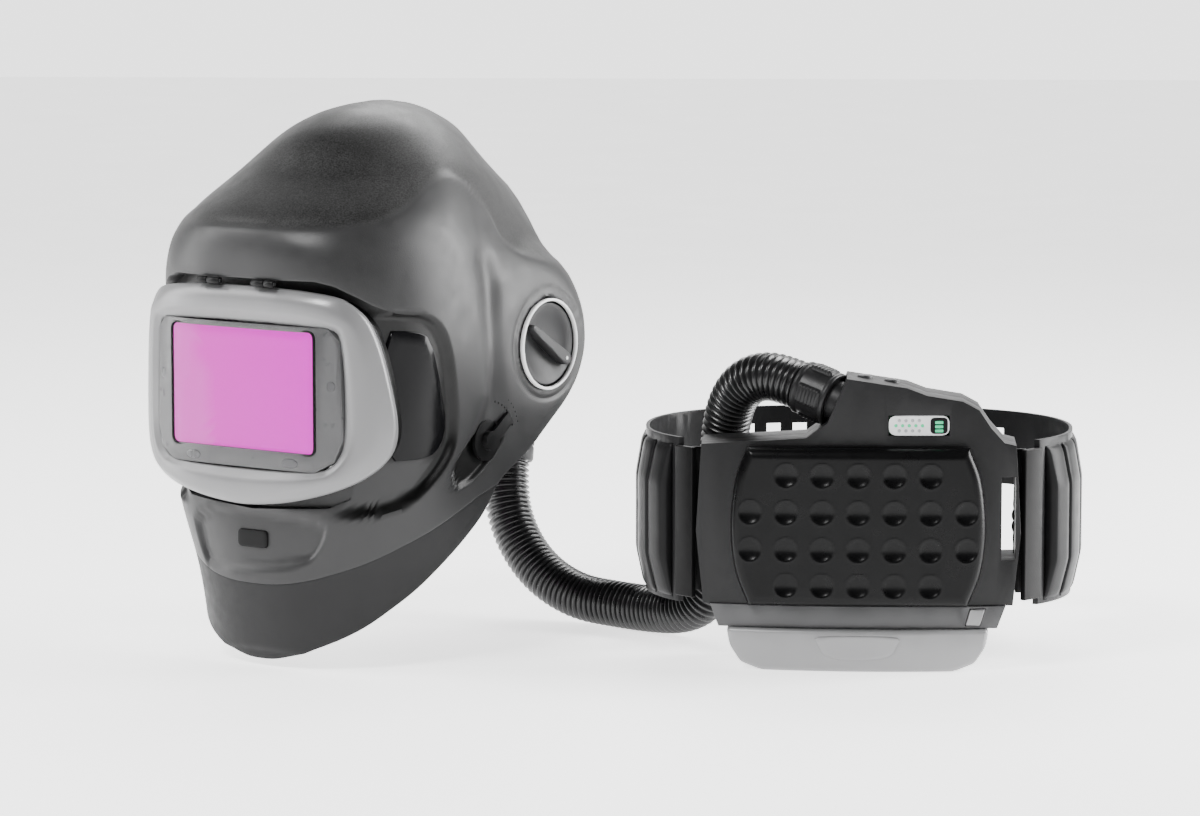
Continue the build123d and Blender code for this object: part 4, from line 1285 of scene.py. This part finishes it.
def build_face_seal():
    """Gathered cloth between the shell and an oval opening."""
    around, rows = 180, 22
    turns = np.arange(around) * 2 * math.pi / around
    outer = seal_border(turns)
    inner = np.stack([66 * np.sin(turns), 182 + 92 * np.cos(turns)], -1)
    rings = []
    for step in range(rows + 1):
        share = step / rows
        flat = outer + (inner - outer) * share
        folds = 1.2 * np.sin(turns * 34) * math.sin(math.pi * min(1, share * 1.1)) ** 0.7
        rings.append(np.stack([flat[:, 0], SEAL_Y + folds * 0.5, flat[:, 1]], -1))
    back = [ring + (0, 0.8, 0) for ring in reversed(rings)]
    seal = rings_piece("face_seal_look", on_helmet(np.array(rings + back)), "root", "seal_fabric",
                       ["face_seal"], closed=True)


def oval_at(half_x, half_y, turn, z, power=2.2):
    """Point of a headband's oval at a turn from the front."""
    x = half_x * math.copysign(abs(math.sin(turn)) ** (2 / power), math.sin(turn))
    y = -half_y * math.copysign(abs(math.cos(turn)) ** (2 / power), math.cos(turn))
    return (x, y, z)


def build_pad(name, node, body, half_x, half_y, turns, heights, thick):
    """A soft sweat pad inside a headband: a curved slab swollen by cloth pressure."""
    rings = []
    for turn in np.linspace(*turns, 40):
        ring = []
        for z, depth in ((heights[0], 0.6), (heights[0], thick), (heights[1], thick), (heights[1], 0.6)):
            ring.append(oval_at(half_x - depth, half_y - depth, turn, z))
        rings.append(on_helmet(ring))
    pad = rings_piece(name, rings, body, "pad_fabric", [node])
    pad.parent = None
    swell(pad, 2.2)
    soften = pad.modifiers.new("soften", "SUBSURF")
    soften.levels = soften.render_levels = 1
    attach(pad, body)
    return pad


def swell(piece, cap):
    """Inflate a closed mesh with cloth pressure, moving no point further than the cap."""
    remesh = piece.modifiers.new("voxels", "REMESH")
    remesh.mode = "VOXEL"
    remesh.voxel_size = 3 * MM
    apply_modifiers(piece)
    start = np.array([v.co for v in piece.data.vertices])
    cloth = piece.modifiers.new("cloth", "CLOTH")
    cloth.settings.use_pressure = True
    cloth.settings.uniform_pressure_force = 4
    cloth.settings.effector_weights.gravity = 0
    scene = bpy.context.scene
    for number in range(1, 16):
        scene.frame_set(number)
    apply_modifiers(piece)
    scene.frame_set(1)
    move = np.array([v.co for v in piece.data.vertices]) - start
    length = np.linalg.norm(move, axis=1, keepdims=True)
    final = start + move * np.minimum(1, cap * MM / np.maximum(length, 1e-9))
    piece.data.vertices.foreach_set("co", final.ravel())
    piece.data.update()
    piece.data.shade_smooth()


def apply_modifiers(piece):
    """Replace a piece's mesh by what its modifiers make of it."""
    graph = bpy.context.evaluated_depsgraph_get()
    mesh = bpy.data.meshes.new_from_object(piece.evaluated_get(graph))
    piece.modifiers.clear()
    piece.data = mesh


def build_soft():
    """The cloth face seal, and the sweat pads at the brow and the nape."""
    build_face_seal()
    build_pad("brow_pad_look", "brow_pad", "harness", 81.4, 95.4, (-0.72, 0.72), (231.5, 260.5), 5.0)
    nape = (math.pi - 0.62, math.pi + 0.62)
    build_pad("nape_pad_look", "nape_pad", "rear_band", 81.4, 89.4, nape, (171.5, 202.5), 4.6)


# ---------------------------------------------------------------- carried-over CAD nodes
EDGED = {
    "filter_housing": 0.5, "protection_plate": 0.25,
    "headband_front": 0.6, "headband_rear": 0.6, "crown_straps": 0.5, "pivot_arms": 0.8,
    "ratchet_housing": 1.0, "ratchet_knob": 0.9, "air_duct": 1.2, "duct_inlet": 0.5,
}


def dress_nodes():
    """Give every CAD node its finish; the ones seen on the outside get rounded edges."""
    for entry in frame["record"]["subparts"]:
        node = entry["node"]
        if node in EDGED:
            bevelled(node, entry["material_slot"], EDGED[node])
        else:
            dress(frame["nodes"][node], entry["material_slot"])


# ---------------------------------------------------------------- stage, light and camera
def area_light(name, place, target, size, power):
    """Rectangular light turned towards a target."""
    data = bpy.data.lights.new(name, "AREA")
    data.shape = "RECTANGLE"
    data.size, data.size_y = size
    data.energy = power
    lamp = placed(name, data)
    lamp.location = place
    lamp.rotation_euler = (Vector(target) - Vector(place)).to_track_quat("-Z", "Y").to_euler()


# Brightness of the surroundings in front of the object and behind it, and of the backdrop seen.
WORLD_FRONT, WORLD_BACK, BACKDROP = 0.03, 1.6, 2.55


def build_floor():
    """Wide white floor, marked as stage so that the object's bounds leave it out."""
    mesh = bpy.data.meshes.new("floor")
    half = 8.0
    corners = [(-half, -half, 0), (half, -half, 0), (half, half, 0), (-half, half, 0)]
    mesh.from_pydata(corners, [], [(0, 1, 2, 3)])
    floor = placed("floor", mesh)
    white = surface("floor_white", (0.92, 0.92, 0.92), 0.5, 0.0, vary=0.01, spot=0.5, glow=1.9)
    floor.data.materials.append(white)
    floor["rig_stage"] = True


def build_world():
    """Surroundings that brighten towards the rear, in front of a bright backdrop."""
    world = bpy.data.worlds.new("studio")
    world.use_nodes = True
    tree = world.node_tree
    place = tree.nodes.new("ShaderNodeTexCoord")
    split = tree.nodes.new("ShaderNodeSeparateXYZ")
    tree.links.new(place.outputs["Generated"], split.inputs[0])
    level = spread(tree, split.outputs["Y"], WORLD_FRONT, WORLD_BACK, (0.3, 0.85))
    tree.nodes["Background"].inputs["Color"].default_value = (1, 1, 1, 1)
    seen = tree.nodes.new("ShaderNodeLightPath")
    mix = tree.nodes.new("ShaderNodeMix")
    mix.inputs["B"].default_value = BACKDROP
    tree.links.new(seen.outputs["Is Camera Ray"], mix.inputs["Factor"])
    tree.links.new(level, mix.inputs["A"])
    tree.links.new(mix.outputs["Result"], tree.nodes["Background"].inputs["Strength"])
    bpy.context.scene.world = world


def build_lights():
    """A tall soft box on each side, one behind, and a key light from the upper left front."""
    low, high = (Vector(corner) for corner in cad_box)
    middle = (low + high) / 2
    area_light("left_box", middle + Vector((-1.7, 0.1, 0.6)), middle, (0.7, 1.6), 30)
    area_light("right_box", middle + Vector((1.7, 0.3, 0.6)), middle, (0.8, 1.6), 90)
    area_light("rear_box", middle + Vector((0.3, 1.6, 1.5)), middle, (1.6, 0.7), 30)
    area_light("key_box", middle + Vector((-0.9, -1.1, 1.5)), middle, (0.6, 0.6), 42)


# Place in metres, angles in degrees, lens in millimetres.
CAMERA_AT = (-0.0025, -2.993, 0.541)
CAMERA_YAW, CAMERA_PITCH, CAMERA_LENS = 3.27, 7.0, 135.0


def build_camera():
    """Level-sided long-lens camera in front of the object."""
    data = bpy.data.cameras.new("camera")
    data.lens = CAMERA_LENS
    data.sensor_width = 36.0
    data.clip_end = 50
    camera = placed("camera", data)
    camera.location = CAMERA_AT
    camera.rotation_euler = (math.radians(90 - CAMERA_PITCH), 0, math.radians(CAMERA_YAW))
    bpy.context.scene.camera = camera


dress_nodes()
build_shell()
build_neck_cover()
build_side_windows()
build_bezel()
build_visor_frame()
build_chin_clip()
build_window()
build_hinge()
build_sensors()
build_knobs()
build_tube()
build_cover()
build_panel()
build_collar()
build_battery()
build_housing()
build_belt()
build_soft()
build_floor()
build_world()
build_lights()
build_camera()

boxes = {"cad": cad_box, "visual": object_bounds()}
{name: [[float(v) for v in corner] for corner in box] for name, box in boxes.items()}
